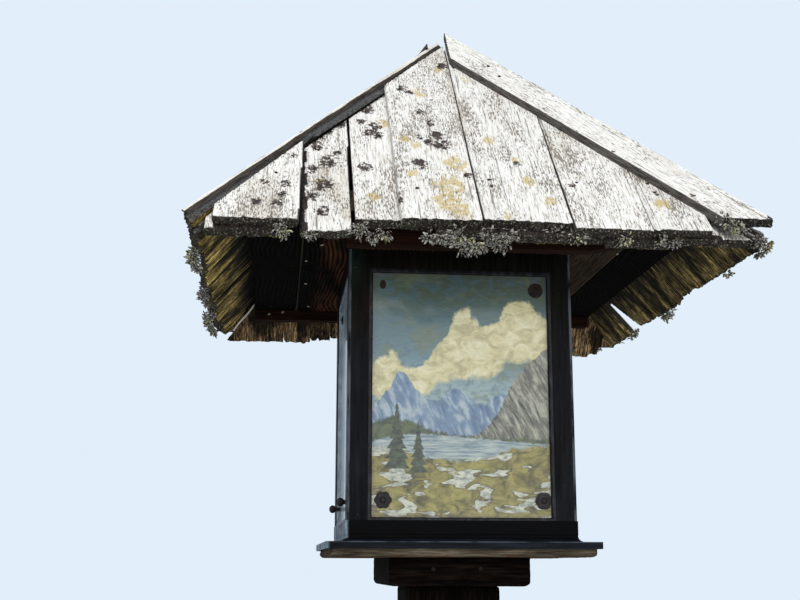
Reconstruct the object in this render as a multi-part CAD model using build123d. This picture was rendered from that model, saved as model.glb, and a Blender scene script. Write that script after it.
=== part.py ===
from build123d import *

import os
from math import atan, cos, hypot, sin

# A wayside shrine: a box with a painted sheet on each of its four sides, on a timber
# post, under a steep four-sided roof of old boards. Millimetres, +Z up. The origin is
# the centre of the post's foot at ground level, and the front looks towards -Y.

# Post and bolster
POST_WIDTH = 200
POST_HEIGHT = 1557
POST_CHAMFER = 6
BOLSTER_WIDTH = 290
BOLSTER_DEPTH = 390
BOLSTER_HEIGHT = 58
BOLSTER_ROUND = 9

# Tray: weathered boards under a folded metal sheet
TRAY_MARGIN = 31
TRAY_BOARD_THICKNESS = 29
TRAY_BOARD_COUNT = 3
TRAY_BOARD_GAP = 1.5
SHEET_THICKNESS = 1.2
SHEET_OVERHANG = 10
TRAY_APRON = 14

# Box: corner posts, rails, painted sheets held by beads
BOX_WIDTH = 470
BOX_HEIGHT = 600
FRAME_FACE = 43
FRAME_CORE = 68
RAIL_FACE = 40
RAIL_CORE_HEIGHT = 80
RAIL_CORE_DEPTH = 48
REBATE_DEPTH = 12
FRAME_CHAMFER = 2
PANEL_THICKNESS = 2
PANEL_CLEARANCE = 2
BEAD_WIDTH = 8
BEAD_DEPTH = 8
BEAD_ROUND = 3

# Metal upstand round the foot of the box
UPSTAND_HEIGHT = 42
UPSTAND_FLARE = 7
UPSTAND_FLARE_HEIGHT = 15
UPSTAND_FLARE_SAG = 3

# Deck of planks that lies on the box, with a batten under its front and back
DECK_OVERHANG = 205
DECK_THICKNESS = 22
DECK_OUTER_PLANK = 104
DECK_JOINT_GAP = 2
BATTEN_THICKNESS = 30
FRONT_BATTEN_HEIGHT = 38
FRONT_BATTEN_INSET = 25
BACK_BATTEN_HEIGHT = 25
BACK_BATTEN_INSET = 2

# The front batten is a shorter piece whose right end still has the log's round edge
FRONT_BATTEN_LEFT = 250
FRONT_BATTEN_RIGHT = 309
WANE_LENGTH = 73
WANE_RISE = 16

# Roof: rise for each millimetre of run, and how far its lower edge stands out past the deck
ROOF_RISE = 1.1045
EAVE_OVERHANG = 90
BOARD_THICKNESS = 20
BOARD_GAP = 2
EAVE_LEDGE = 12

# At a hip the upper boards lap over the neighbour's and stop short of its outer face, and
# the boards under them stop a little short of the lap
LAP_SHORT = 10
HIP_GAP = 4

# Hidden carriers of the roof boards: a plate on the deck, bevelled above its outer edge,
# and rafters from the plate's corners to a king post
PLATE_WIDTH = 60
PLATE_HEIGHT = 50
PLATE_EDGE = 17.5
KING_POST_WIDTH = 70
RAFTER_WIDTH = 50
RAFTER_DEPTH = 90

# Boards that cover the hips: each lies on its own slope, along the right-hand hip
COVER_WIDTH = 82
COVER_REACH = {"front": 5, "right": 0, "back": 24, "left": -34}

# How far each cover's head ends from its slope's middle line, past it where negative, and
# how much shorter than the eave line its foot is. The right cover has lost its foot.
COVER_HEAD = {"front": 0, "right": 0, "back": 36, "left": -47}
COVER_SHORT = {"front": 20, "right": 110, "back": 20, "left": 20}

# Board joints of each slope, from left to right when facing it, and how much shorter
# (positive) or longer each board ends than the common eave line. None is a lost board.
LOWER_JOINTS = {
    "front": (-520, -376, -345, -241, -92, 58, 226, 356),
    "right": (-355, -190, -60, 110, 277, 337),
    "back": (-330, -205, -40, 95, 240, 293, 364),
    "left": (-340, -215, -70, 85, 215, 365),
}
LOWER_SHORT = {
    "front": (None, -5, 60, -4, 38, 6, 2, -6, 4),
    "right": (1, 3, 8, -2, 0, 95, -4),
    "back": (-31, 0, 6, -4, 10, 6, -5, -2),
    "left": (16, 0, 8, 2, -4, 6, 0),
}
UPPER_JOINTS = {
    "front": (-504, -346, -157, -4, 168, 316, 430),
    "right": (-300, -130, 20, 150, 262, 400),
    "back": (-290, -120, 45, 190, 340),
    "left": (-310, -150, 10, 160, 320),
}
UPPER_SHORT = {
    "front": (None, -11, None, 2, 6, -14, -12, None),
    "right": (4, 0, -6, 9, 2, 82, 6),
    "back": (0, 8, -4, None, 4, 0),
    "left": (2, -5, 6, 0, 8, -3),
}

# Corners broken off the lower boards of a slope, as outlines across and up the slope: one
# beside the lost end on the right, and two steps at the right-hand corner of the back
BROKEN_CORNERS = {
    "right": [((277.5, -695), (277.5, -887), (181, -887))],
    "back": [((-640, -810), (-476, -810), (-476, -860), (-640, -860)),
             ((-640, -790), (-500, -790), (-500, -860), (-640, -860))],
}

# How far short of the left slope's boards the back slope's lower boards end
BACK_HIP_SHORT = 12

SIDES = ("front", "right", "back", "left")

# Size of the blocks that cut along a plane, larger than the whole shrine
FAR = 2 * (POST_HEIGHT + BOX_HEIGHT)

SLOPE = atan(ROOF_RISE)
TRAY_FOOT = POST_HEIGHT + BOLSTER_HEIGHT
BOX_FOOT = TRAY_FOOT + TRAY_BOARD_THICKNESS + SHEET_THICKNESS
BOX_TOP = BOX_FOOT + BOX_HEIGHT
DECK_TOP = BOX_TOP + DECK_THICKNESS
BOX_HALF = BOX_WIDTH / 2
TRAY_HALF = BOX_HALF + TRAY_MARGIN
DECK_HALF = BOX_HALF + DECK_OVERHANG
EAVE_HALF = DECK_HALF + EAVE_OVERHANG
OPENING_HALF = BOX_HALF - FRAME_FACE
CORE_FACE = BOX_HALF - REBATE_DEPTH
CORE_INSIDE = CORE_FACE - FRAME_CORE
INNER_APEX = DECK_TOP + PLATE_EDGE + ROOF_RISE * DECK_HALF
LAYER_RISE = BOARD_THICKNESS / cos(SLOPE)
OUTER_APEX = INNER_APEX + 2 * LAYER_RISE
BUTT_APEX = INNER_APEX + LAYER_RISE - HIP_GAP / cos(SLOPE)
LAP_APEX = OUTER_APEX - LAP_SHORT / cos(SLOPE)
EAVE_RUN = EAVE_HALF / cos(SLOPE)


def block(x0, x1, y0, y1, z0, z1):
    """An upright block between two corners."""
    size = Box(x1 - x0, y1 - y0, z1 - z0, align=(Align.MIN, Align.MIN, Align.MIN))
    return Pos(x0, y0, z0) * size


def turned(shape, side):
    """The front's shape, turned to stand on another side."""
    return Rot(0, 0, 90 * SIDES.index(side)) * shape


def write(name, shape):
    """One STEP file for one piece or one set of like pieces."""
    shape.label = name
    export_step(shape, f"parts/{name}.step")


def joined(solids):
    """Separate solids under one name."""
    return Compound(children=list(solids))


def slope_plane(side, apex_z):
    """Plane of a slope: X along the eave to the right, Y up the slope, Z out of the roof."""
    front = Plane(origin=(0, 0, apex_z), x_dir=(1, 0, 0), z_dir=(0, -sin(SLOPE), cos(SLOPE)))
    return Plane(Rot(0, 0, 90 * SIDES.index(side)) * front.location)


def below(side, apex_z):
    """All that lies under a slope's plane."""
    plane = slope_plane(side, apex_z)
    return plane.location * Pos(0, 0, -FAR / 2) * Box(2 * FAR, 2 * FAR, FAR)


def neighbours(side):
    """The slopes at the left and right hand of one who faces this side."""
    place = SIDES.index(side)
    return SIDES[place - 1], SIDES[(place + 1) % 4]


def post():
    shaft = block(-POST_WIDTH / 2, POST_WIDTH / 2, -POST_WIDTH / 2, POST_WIDTH / 2, 0, POST_HEIGHT)
    return chamfer(shaft.edges().filter_by(Axis.Z), POST_CHAMFER)


def bolster():
    half_x, half_y = BOLSTER_WIDTH / 2, BOLSTER_DEPTH / 2
    beam = block(-half_x, half_x, -half_y, half_y, POST_HEIGHT, TRAY_FOOT)
    foot_edges = beam.faces().sort_by(Axis.Z)[0].edges()
    return fillet(foot_edges, BOLSTER_ROUND)


def tray_boards():
    """Boards from side to side, a little apart, that carry the box."""
    pitch = (2 * TRAY_HALF + TRAY_BOARD_GAP) / TRAY_BOARD_COUNT
    fronts = [-TRAY_HALF + place * pitch for place in range(TRAY_BOARD_COUNT)]
    top = TRAY_FOOT + TRAY_BOARD_THICKNESS
    return joined(
        block(-TRAY_HALF, TRAY_HALF, front, front + pitch - TRAY_BOARD_GAP, TRAY_FOOT, top)
        for front in fronts
    )


def tray_sheet():
    """Sheet on the tray boards, folded down past their edges."""
    half = TRAY_HALF + SHEET_OVERHANG
    inside = half - SHEET_THICKNESS
    cover = block(-half, half, -half, half, BOX_FOOT - TRAY_APRON, BOX_FOOT)
    room = block(-inside, inside, -inside, inside, BOX_FOOT - TRAY_APRON, BOX_FOOT - SHEET_THICKNESS)
    return cover - room


def upstand():
    """Sheet collar that stands up the box and flares out on the tray."""
    outer = BOX_HALF + SHEET_THICKNESS
    flared = outer + UPSTAND_FLARE
    outline = [
        Polyline((-flared, SHEET_THICKNESS), (-flared, 0), (-BOX_HALF, 0), (-BOX_HALF, UPSTAND_HEIGHT),
                 (-outer, UPSTAND_HEIGHT), (-outer, UPSTAND_FLARE_HEIGHT)),
        SagittaArc((-outer, UPSTAND_FLARE_HEIGHT), (-flared, SHEET_THICKNESS), UPSTAND_FLARE_SAG),
    ]
    section = Plane.YZ * make_face(outline)
    bar = extrude(section, flared, both=True)
    wedge = extrude(make_face(Polyline((0, 0), (flared, -flared), (-flared, -flared), close=True)), UPSTAND_HEIGHT)
    run = bar & wedge
    ring = run
    for side in SIDES[1:]:
        ring += turned(run, side)
    return Pos(0, 0, BOX_FOOT) * ring


def corner_post(side):
    """Corner at the right hand of a side: a square core and a proud square outside it."""
    core = block(CORE_INSIDE, CORE_FACE, -CORE_FACE, -CORE_INSIDE, BOX_FOOT, BOX_TOP)
    proud = block(OPENING_HALF, BOX_HALF, -BOX_HALF, -OPENING_HALF, BOX_FOOT, BOX_TOP)
    outer_edge = proud.edges().filter_by(Axis.Z).sort_by(lambda edge: edge.center().X - edge.center().Y)[-1]
    return turned(core + chamfer(outer_edge, FRAME_CHAMFER), side)


def rail(side, at_top):
    """Rail between two corner posts, with the same rebate as they have."""
    face = block(-OPENING_HALF, OPENING_HALF, -BOX_HALF, -CORE_FACE, 0, RAIL_FACE)
    core = block(-CORE_INSIDE, CORE_INSIDE, -CORE_FACE, -CORE_FACE + RAIL_CORE_DEPTH, 0, RAIL_CORE_HEIGHT)
    bar = face + core
    if at_top:
        bar = Pos(0, 0, BOX_TOP) * mirror(bar, about=Plane.XY)
    else:
        bar = Pos(0, 0, BOX_FOOT) * bar
    return turned(bar, side)


def panel(side):
    """Painted sheet, laid in the rebate of the frame."""
    half = OPENING_HALF - PANEL_CLEARANCE
    foot = BOX_FOOT + RAIL_FACE + PANEL_CLEARANCE
    top = BOX_TOP - RAIL_FACE - PANEL_CLEARANCE
    return turned(block(-half, half, -CORE_FACE - PANEL_THICKNESS, -CORE_FACE, foot, top), side)


def bead(side):
    """Slim moulding that holds the painted sheet in its rebate."""
    back = -CORE_FACE - PANEL_THICKNESS
    front = back - BEAD_DEPTH
    foot, top = BOX_FOOT + RAIL_FACE, BOX_TOP - RAIL_FACE
    inner = OPENING_HALF - BEAD_WIDTH
    ring = block(-OPENING_HALF, OPENING_HALF, front, back, foot, top)
    ring -= block(-inner, inner, front, back, foot + BEAD_WIDTH, top - BEAD_WIDTH)
    front_edges = ring.faces().sort_by(Axis.Y)[0].edges()
    near = BEAD_WIDTH / 2
    inner_edges = [edge for edge in front_edges if abs(edge.center().X) < OPENING_HALF - near
                   and foot + near < edge.center().Z < top - near]
    return turned(fillet(inner_edges, BEAD_ROUND), side)


def deck_planks():
    """Four planks from front to back."""
    gap = DECK_JOINT_GAP / 2
    inner_joint = DECK_HALF - DECK_OUTER_PLANK
    joints = (-DECK_HALF - gap, -inner_joint, 0, inner_joint, DECK_HALF + gap)
    return [
        block(left + gap, right - gap, -DECK_HALF, DECK_HALF, BOX_TOP, DECK_TOP)
        for left, right in zip(joints, joints[1:])
    ]


def deck_battens():
    """Battens across the planks, under the deck's front and back edges."""
    back = DECK_HALF - BACK_BATTEN_INSET
    back_bar = block(-DECK_HALF, DECK_HALF, back - BATTEN_THICKNESS, back, BOX_TOP - BACK_BATTEN_HEIGHT, BOX_TOP)
    outer = -DECK_HALF + FRONT_BATTEN_INSET
    foot = BOX_TOP - FRONT_BATTEN_HEIGHT
    left, right = -FRONT_BATTEN_LEFT, FRONT_BATTEN_RIGHT
    outline = Polyline((left, foot), (right - WANE_LENGTH, foot), (right, foot + WANE_RISE),
                       (right, BOX_TOP), (left, BOX_TOP), close=True)
    front_bar = extrude(Plane.XZ * make_face(outline), -BATTEN_THICKNESS)
    return joined([Pos(0, outer, 0) * front_bar, back_bar])


def roof_plate():
    """Ring of timber on the deck, bevelled to the slope, that the boards are nailed to."""
    inner = DECK_HALF - PLATE_WIDTH
    ring = block(-DECK_HALF, DECK_HALF, -DECK_HALF, DECK_HALF, DECK_TOP, DECK_TOP + PLATE_HEIGHT)
    ring -= block(-inner, inner, -inner, inner, DECK_TOP, DECK_TOP + PLATE_HEIGHT)
    for side in SIDES:
        ring &= below(side, INNER_APEX)
    return ring


def king_post():
    half = KING_POST_WIDTH / 2
    mast = block(-half, half, -half, half, DECK_TOP, INNER_APEX)
    for side in SIDES:
        mast &= below(side, INNER_APEX)
    return mast


def hip_rafters():
    """Four rafters under the hips, from the plate's corners to the king post."""
    half = KING_POST_WIDTH / 2
    foot = DECK_TOP + PLATE_HEIGHT
    slab = block(0, FAR / 2, -RAFTER_WIDTH / 2, RAFTER_WIDTH / 2, foot, INNER_APEX)
    rafter = Rot(0, 0, -45) * slab
    for side in ("front", "right"):
        rafter &= below(side, INNER_APEX)
    under = below("front", INNER_APEX - RAFTER_DEPTH) & below("right", INNER_APEX - RAFTER_DEPTH)
    rafter -= under
    rafter -= block(-half, half, -half, half, 0, FAR)
    return joined(turned(rafter, side) for side in SIDES)


def broken_corners(side):
    """Blocks that take the broken corners out of a slope's lower boards."""
    place = slope_plane(side, INNER_APEX).location
    return [place * extrude(make_face(Polyline(*corner, close=True)), BOARD_THICKNESS)
            for corner in BROKEN_CORNERS.get(side, [])]


def slope_boards(side, joints, shorts, layer):
    """Boards of one layer, side by side, from the hips to their own ends at the eave.

    At the left hip they butt under the neighbour's upper boards. At the right hip the lower
    boards butt under the neighbour's, and the upper boards lap over them."""
    left, right = neighbours(side)
    right_apex = LAP_APEX if layer else INNER_APEX
    if side == "back" and not layer:
        right_apex -= BACK_HIP_SHORT * ROOF_RISE
    plane = slope_plane(side, INNER_APEX)
    bottom = layer * BOARD_THICKNESS
    edges = (-FAR / 2, *joints, FAR / 2)
    boards = []
    for x0, x1, short in zip(edges, edges[1:], shorts):
        if short is None:
            continue
        end = EAVE_RUN - short - layer * EAVE_LEDGE
        board = block(x0 + BOARD_GAP / 2, x1 - BOARD_GAP / 2, -end, FAR / 2, bottom, bottom + BOARD_THICKNESS)
        board = plane.location * board
        board = board & below(right, right_apex) & below(left, BUTT_APEX)
        if not layer:
            for corner in broken_corners(side):
                board = board - corner
        boards.extend(board.solids())
    return boards


def hip_cover(side):
    """Board along the right-hand hip, on top of the slope's own boards.

    Its head is cut upright near the slope's middle line and its foot is parallel to the eave."""
    plane = slope_plane(side, INNER_APEX)
    bottom = 2 * BOARD_THICKNESS
    apex_y = 2 * LAYER_RISE * sin(SLOPE)
    run_x, run_y = cos(SLOPE), -1.0
    across = 1 / hypot(run_x, run_y)
    reach, head = COVER_REACH[side], COVER_HEAD[side]
    end_y = COVER_SHORT[side] - EAVE_RUN

    def edge_points(offset):
        """Where a line parallel to the hip meets the head's line and the foot's line."""
        start_x, start_y = offset * across, apex_y + offset * across * run_x
        head_y = start_y + (head - start_x) * run_y / run_x
        foot_x = start_x + (end_y - start_y) * run_x / run_y
        return (head, head_y), (foot_x, end_y)

    outer_head, outer_foot = edge_points(reach)
    inner_head, inner_foot = edge_points(reach - COVER_WIDTH)
    outline = make_face(Polyline(outer_head, outer_foot, inner_foot, inner_head, close=True))
    board = plane.location * (Pos(0, 0, bottom) * extrude(outline, BOARD_THICKNESS))
    board &= turned(block(head, FAR, -FAR, 0, 0, FAR), side)
    if side == "back":
        board -= hip_cover("left")
    return board


def main():
    os.makedirs("parts", exist_ok=True)
    write("post", post())
    write("bolster", bolster())
    write("tray_boards", tray_boards())
    write("tray_sheet", tray_sheet())
    write("box_upstand", upstand())
    for side, corner in zip(SIDES, ("front_right", "back_right", "back_left", "front_left")):
        write(f"corner_post_{corner}", corner_post(side))
    for side in SIDES:
        write(f"bottom_rail_{side}", rail(side, at_top=False))
        write(f"top_rail_{side}", rail(side, at_top=True))
        write(f"panel_{side}", panel(side))
        write(f"bead_{side}", bead(side))
    for place, plank in zip(("left_outer", "left_inner", "right_inner", "right_outer"), deck_planks()):
        write(f"deck_plank_{place}", plank)
    write("deck_battens", deck_battens())
    write("roof_plate", roof_plate())
    write("king_post", king_post())
    write("hip_rafters", hip_rafters())
    for side in SIDES:
        write(f"roof_lower_{side}", joined(slope_boards(side, LOWER_JOINTS[side], LOWER_SHORT[side], 0)))
        write(f"roof_upper_{side}", joined(slope_boards(side, UPPER_JOINTS[side], UPPER_SHORT[side], 1)))
        write(f"hip_cover_{side}", hip_cover(side))


main()
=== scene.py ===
import random
from math import atan, cos, pi, radians, sin

import bpy
import numpy as np
from mathutils import Matrix, Vector


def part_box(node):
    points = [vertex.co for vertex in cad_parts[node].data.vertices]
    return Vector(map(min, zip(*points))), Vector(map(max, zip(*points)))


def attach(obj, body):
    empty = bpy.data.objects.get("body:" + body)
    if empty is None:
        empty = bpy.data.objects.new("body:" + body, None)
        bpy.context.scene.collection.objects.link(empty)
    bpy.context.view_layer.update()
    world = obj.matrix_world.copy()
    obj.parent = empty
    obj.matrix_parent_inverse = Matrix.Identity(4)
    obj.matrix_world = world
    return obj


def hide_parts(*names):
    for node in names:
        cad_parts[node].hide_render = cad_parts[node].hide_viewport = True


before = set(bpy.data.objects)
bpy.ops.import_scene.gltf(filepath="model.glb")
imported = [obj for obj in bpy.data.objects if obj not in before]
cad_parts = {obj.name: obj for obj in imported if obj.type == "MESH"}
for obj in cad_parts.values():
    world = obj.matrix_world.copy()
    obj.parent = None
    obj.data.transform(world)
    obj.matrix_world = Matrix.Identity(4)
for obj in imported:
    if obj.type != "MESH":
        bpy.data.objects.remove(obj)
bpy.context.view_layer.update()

# Camera: at eye height in front of the shrine, a little to its left, looking up at the roof.
# Its height, turn and lens give the lines of the box, deck and hips as one sees them there.
eye_data = bpy.data.cameras.new("eye_height_camera")
eye_data.sensor_width = 36.0
eye_data.lens = 54.1
eye = bpy.data.objects.new("eye_height_camera", eye_data)
eye.location = (-0.3773, -2.667, 1.6004)
eye.rotation_euler = (radians(90 + 12.41), radians(-0.1), radians(-5.875))
bpy.context.scene.collection.objects.link(eye)
bpy.context.scene.camera = eye
bpy.context.scene.view_settings.view_transform = "Standard"

# Stage: a pale floor and pale surroundings. What the camera and shiny surfaces see of the
# surroundings is brighter than the even light that comes from them.
SKY_SHOWN = (0.76, 0.86, 0.96, 1)
SKY_LIGHT = (0.88, 0.94, 1.0, 1)
SKY_LEVEL = 0.42
FLOOR_RADIUS = 40
FLOOR_COLOUR = (0.74, 0.76, 0.76, 1)


def primitive(adder, **settings):
    """A new primitive, with nothing else selected."""
    bpy.ops.object.select_all(action="DESELECT")
    adder(**settings)
    return bpy.context.active_object


floor = primitive(bpy.ops.mesh.primitive_circle_add, vertices=96, radius=FLOOR_RADIUS, fill_type="NGON",
                  location=(0, 0, -0.001))
floor.name = "floor"
floor_finish = bpy.data.materials.new("pale_floor")
floor_finish.use_nodes = True
floor_shader = floor_finish.node_tree.nodes["Principled BSDF"]
floor_shader.inputs["Base Color"].default_value = FLOOR_COLOUR
floor_shader.inputs["Roughness"].default_value = 0.9
floor_shader.inputs["Specular IOR Level"].default_value = 0.1
floor.data.materials.append(floor_finish)

surroundings = bpy.data.worlds.new("pale_surroundings")
bpy.context.scene.world = surroundings
surroundings.use_nodes = True
sky_nodes, sky_links = surroundings.node_tree.nodes, surroundings.node_tree.links
sky_light, sky_shown = sky_nodes["Background"], sky_nodes.new("ShaderNodeBackground")
sky_light.inputs["Color"].default_value = SKY_LIGHT
sky_light.inputs["Strength"].default_value = SKY_LEVEL
sky_shown.inputs["Color"].default_value = SKY_SHOWN
rays, choice = sky_nodes.new("ShaderNodeLightPath"), sky_nodes.new("ShaderNodeMixShader")
sight = rays.outputs["Is Camera Ray"]
for kind in ("Is Glossy Ray", "Is Transmission Ray"):
    either = sky_nodes.new("ShaderNodeMath")
    either.operation = "MAXIMUM"
    sky_links.new(sight, either.inputs[0])
    sky_links.new(rays.outputs[kind], either.inputs[1])
    sight = either.outputs[0]
for index, source in enumerate((sight, sky_light.outputs[0], sky_shown.outputs[0])):
    sky_links.new(source, choice.inputs[index])
sky_links.new(choice.outputs[0], sky_nodes["World Output"].inputs["Surface"])


# Lamps: a high soft key from the left front, as the sun stood, and a wide low fill from the
# front for the box, which stands in the roof's shade.
def soft_lamp(name, place, aim, size, power):
    data = bpy.data.lights.new(name, "AREA")
    data.shape = "DISK"
    data.size = size
    data.energy = power
    lamp = bpy.data.objects.new(name, data)
    lamp.location = place
    lamp.rotation_euler = (Vector(aim) - Vector(place)).to_track_quat("-Z", "Y").to_euler()
    bpy.context.scene.collection.objects.link(lamp)


soft_lamp("high_key", place=(-2.2, -3.2, 6.6), aim=(0, 0, 2.5), size=1.2, power=150)
soft_lamp("front_fill", place=(0.8, -6.0, 2.4), aim=(0, 0, 2.0), size=3.5, power=150)


# Roof boards: two layers of old sawn boards on each slope, nailed to the plate and rafters.
# Weather has silvered their faces, frayed their lower ends and hollowed the soft grain; the faces' colour is
# raised near white as painted sunlight.
SIDES = ("front", "right", "back", "left")
ROOF_RISE = 1.1045
SLOPE = atan(ROOF_RISE)
PLATE_EDGE = 0.0175
BOARD_THICKNESS = 0.020
EAVE_OVERHANG = 0.090
deck_low, deck_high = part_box("deck_plank_left_outer")
DECK_HALF = -deck_low.x
ROOF_APEX = deck_high.z + PLATE_EDGE + ROOF_RISE * DECK_HALF
EAVE_RUN = (DECK_HALF + EAVE_OVERHANG) / cos(SLOPE)

MERGE_DISTANCE = 0.00002
BOARD_VOXEL = 0.005
FRAYED_LENGTH = 0.045
FRAY = {"front": 0.007, "right": 0.011, "back": 0.006, "left": 0.008}
GROOVE_DEPTH = 0.0017
END_ROUGHNESS = 0.0025
BOW = 0.006
TILT, SKEW = radians(0.45), radians(0.12)
BOARD_SMOOTHING = radians(38)

# Patches of black lichen and ochre algae on the front slope: across, up the slope, radius
DARK_UPPER = (
    (-0.118, -0.228, 0.014), (-0.107, -0.245, 0.012), (-0.088, -0.339, 0.010), (-0.069, -0.388, 0.011),
    (-0.062, -0.444, 0.016), (-0.055, -0.482, 0.018), (-0.084, -0.472, 0.010), (-0.097, -0.453, 0.009),
    (-0.168, -0.586, 0.012), (-0.106, -0.567, 0.017), (-0.165, -0.682, 0.012), (-0.159, -0.708, 0.011),
    (-0.370, -0.661, 0.011), (-0.386, -0.734, 0.012), (-0.377, -0.701, 0.009), (-0.411, -0.656, 0.008),
    (-0.357, -0.551, 0.008), (-0.425, -0.733, 0.011), (-0.014, -0.606, 0.010), (0.027, -0.623, 0.008),
    (0.010, -0.104, 0.008), (0.188, -0.637, 0.009), (0.353, -0.653, 0.008), (0.091, -0.551, 0.009),
    (-0.019, -0.099, 0.014),
)
DARK_LOWER = (
    (-0.202, -0.291, 0.020), (-0.216, -0.356, 0.011), (-0.184, -0.373, 0.016), (-0.197, -0.407, 0.016),
    (-0.182, -0.414, 0.014), (-0.214, -0.553, 0.016), (-0.324, -0.448, 0.022), (-0.305, -0.423, 0.014),
    (-0.286, -0.406, 0.014), (-0.259, -0.371, 0.014), (-0.309, -0.474, 0.014), (-0.267, -0.496, 0.012),
    (-0.289, -0.535, 0.019), (-0.318, -0.567, 0.014), (-0.298, -0.629, 0.020), (-0.322, -0.670, 0.014),
    (-0.303, -0.725, 0.014),
)
OCHRE_UPPER = (
    (-0.083, -0.243, 0.016), (-0.131, -0.464, 0.014), (-0.110, -0.486, 0.014), (-0.124, -0.604, 0.014),
    (-0.033, -0.555, 0.028), (-0.053, -0.647, 0.034), (-0.063, -0.705, 0.034), (-0.044, -0.740, 0.022),
    (0.045, -0.456, 0.014), (0.093, -0.538, 0.012), (0.104, -0.619, 0.017), (0.136, -0.694, 0.016),
    (0.042, -0.753, 0.012), (0.354, -0.696, 0.020), (-0.028, -0.121, 0.014), (0.031, -0.169, 0.012),
)
OCHRE_LOWER = ((-0.168, -0.364, 0.017), (-0.308, -0.616, 0.012), (-0.202, -0.664, 0.014))
PATCHES_PER_SLOPE = 34
PATCH_SPREAD = 1.6
PATCH_FLATTENED = 0.75

# Dirt lies on the lower boards' ends below the upper boards, but not where these are missing
LEDGE_DIRT = 0.018
BARE_ENDS = {"front": ((-0.60, -0.50), (-0.346, -0.157), (0.455, 0.60)), "right": ((0.262, 0.400),),
             "back": ((0.045, 0.190),), "left": ()}

# Heavy grime and the cover's painted shadow lie on the left slope's boards between the hip and the cover, and
# a painted shadow lies beside the raised edge of the front's first upper board: from and to, and its head
HIP_DIRT_AND_SHADOW = 0.038
PAINTED_SHADOW_STRIP = (-0.3465, -0.3325, -0.485)
# The level that marks heavy grime and painted shade
HEAVY_DIRT_AND_SHADE = 2

# The front's first upper board leans over along the hip
LEAN = 0.037
BOARD_LEAN = Matrix((
    (1, LEAN, 0, LEAN * EAVE_RUN), (0, 1 + LEAN / cos(SLOPE), 0, LEAN / cos(SLOPE) * EAVE_RUN),
    (0, 0, 1, 0), (0, 0, 0, 1),
))

# Two of the front's upper boards run on to the hip, over the shorter ends of the left slope's:
# how far the left and right corners of a board's upper end move up the slope
HIP_ENDS = {("front", 0): (0.006, 0.027), ("front", 1): (0.027, 0.031),
            ("left", 3): (-0.028, -0.028), ("left", 5): (-0.032, 0.0)}
BOARD_FOOT = 0.012

# How much wider the upper boards are than sawn, so that they touch, and two lower boards of the
# back, which are also more frayed; and the front's gaping joint, at its foot and its head
UPPER_WIDENED = 0.0016
TIGHT_BOARDS = {("front", 3): 0.0045, ("front", 4): 0.0032}
RAGGED = {("back", 5): (0.0035, 2.6), ("back", 6): (0.0030, 2.2)}
GAPING = ("front", "lower", 2)
GAPE_FOOT, GAPE_HEAD = 0.0065, 0.0015


def slope_axes(side):
    """Axes of a slope's boards: X along the eave, Y up the slope, Z out of the roof."""
    turn = Matrix.Rotation(SIDES.index(side) * pi / 2, 4, "Z")
    return turn @ Matrix.Translation((0, 0, ROOF_APEX)) @ Matrix.Rotation(SLOPE, 4, "X")


def select_only(*pieces):
    bpy.ops.object.select_all(action="DESELECT")
    for piece in pieces:
        piece.select_set(True)
    bpy.context.view_layer.objects.active = pieces[0]


def solids_of(node, axes):
    """The node's solids as separate merged meshes, laid down in the given axes."""
    copied = bpy.data.objects.new(node + "_copy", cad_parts[node].data.copy())
    bpy.context.scene.collection.objects.link(copied)
    copied.data.transform(axes.inverted())
    copied.data.materials.clear()
    select_only(copied)
    bpy.ops.object.mode_set(mode="EDIT")
    bpy.ops.mesh.select_all(action="SELECT")
    bpy.ops.mesh.remove_doubles(threshold=MERGE_DISTANCE)
    bpy.ops.mesh.dissolve_limited(angle_limit=radians(0.5))
    bpy.ops.mesh.normals_make_consistent(inside=False)
    bpy.ops.mesh.separate(type="LOOSE")
    bpy.ops.object.mode_set(mode="OBJECT")

    def middle(piece):
        return tuple(round(sum(corner[axis] for corner in piece.bound_box), 3) for axis in range(3))

    return sorted(bpy.context.selected_objects, key=middle)


def apply_modifier(piece, kind, **settings):
    modifier = piece.modifiers.new(kind.lower(), kind)
    for name, value in settings.items():
        setattr(modifier, name, value)
    select_only(piece)
    bpy.ops.object.modifier_apply(modifier=modifier.name)


def corners(piece, what="co"):
    """Places or normals of a mesh's vertices, one row each."""
    rows = np.empty(len(piece.data.vertices) * 3)
    piece.data.vertices.foreach_get(what, rows)
    return rows.reshape(-1, 3)


def store(piece, name, values, kind="FLOAT"):
    layer = piece.data.attributes.new(name, kind, "POINT")
    key = "vector" if kind == "FLOAT_VECTOR" else "value"
    layer.data.foreach_set(key, np.asarray(values, dtype=np.float32).ravel())


def clouds(name, size, contrast=1.0, depth=2):
    texture = bpy.data.textures.new(name, "CLOUDS")
    texture.noise_scale = size
    texture.noise_depth = depth
    texture.contrast = contrast
    return texture


stretch = bpy.data.objects.new("grain_stretch", None)
bpy.context.scene.collection.objects.link(stretch)
fine_clouds = clouds("fine_clouds", 0.007)
broad_clouds = clouds("broad_clouds", 0.30, depth=0)
frayed_clouds = clouds("frayed_clouds", 0.011, contrast=1.8)


def displace(piece, texture, strength, direction, lengthen, group="", shift=0.0):
    """Moves a board's surface by a texture that is drawn out along the grain."""
    stretch.scale = (1, lengthen, 1)
    stretch.location = (shift, 0.37 * shift, 0.71 * shift)
    bpy.context.view_layer.update()
    apply_modifier(piece, "DISPLACE", texture=texture, texture_coords="OBJECT", texture_coords_object=stretch,
                   strength=strength, direction=direction, mid_level=0.5, vertex_group=group)


def patch_mask(places, patches):
    """How strongly round patches cover each vertex, from 0 to 1."""
    cover = np.zeros(len(places))
    for across, along, radius in patches:
        distance = np.hypot(places[:, 0] - across, (places[:, 1] - along) * PATCH_FLATTENED)
        cover = np.maximum(cover, np.clip(PATCH_SPREAD - distance / radius, 0, 1))
    return cover


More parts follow.
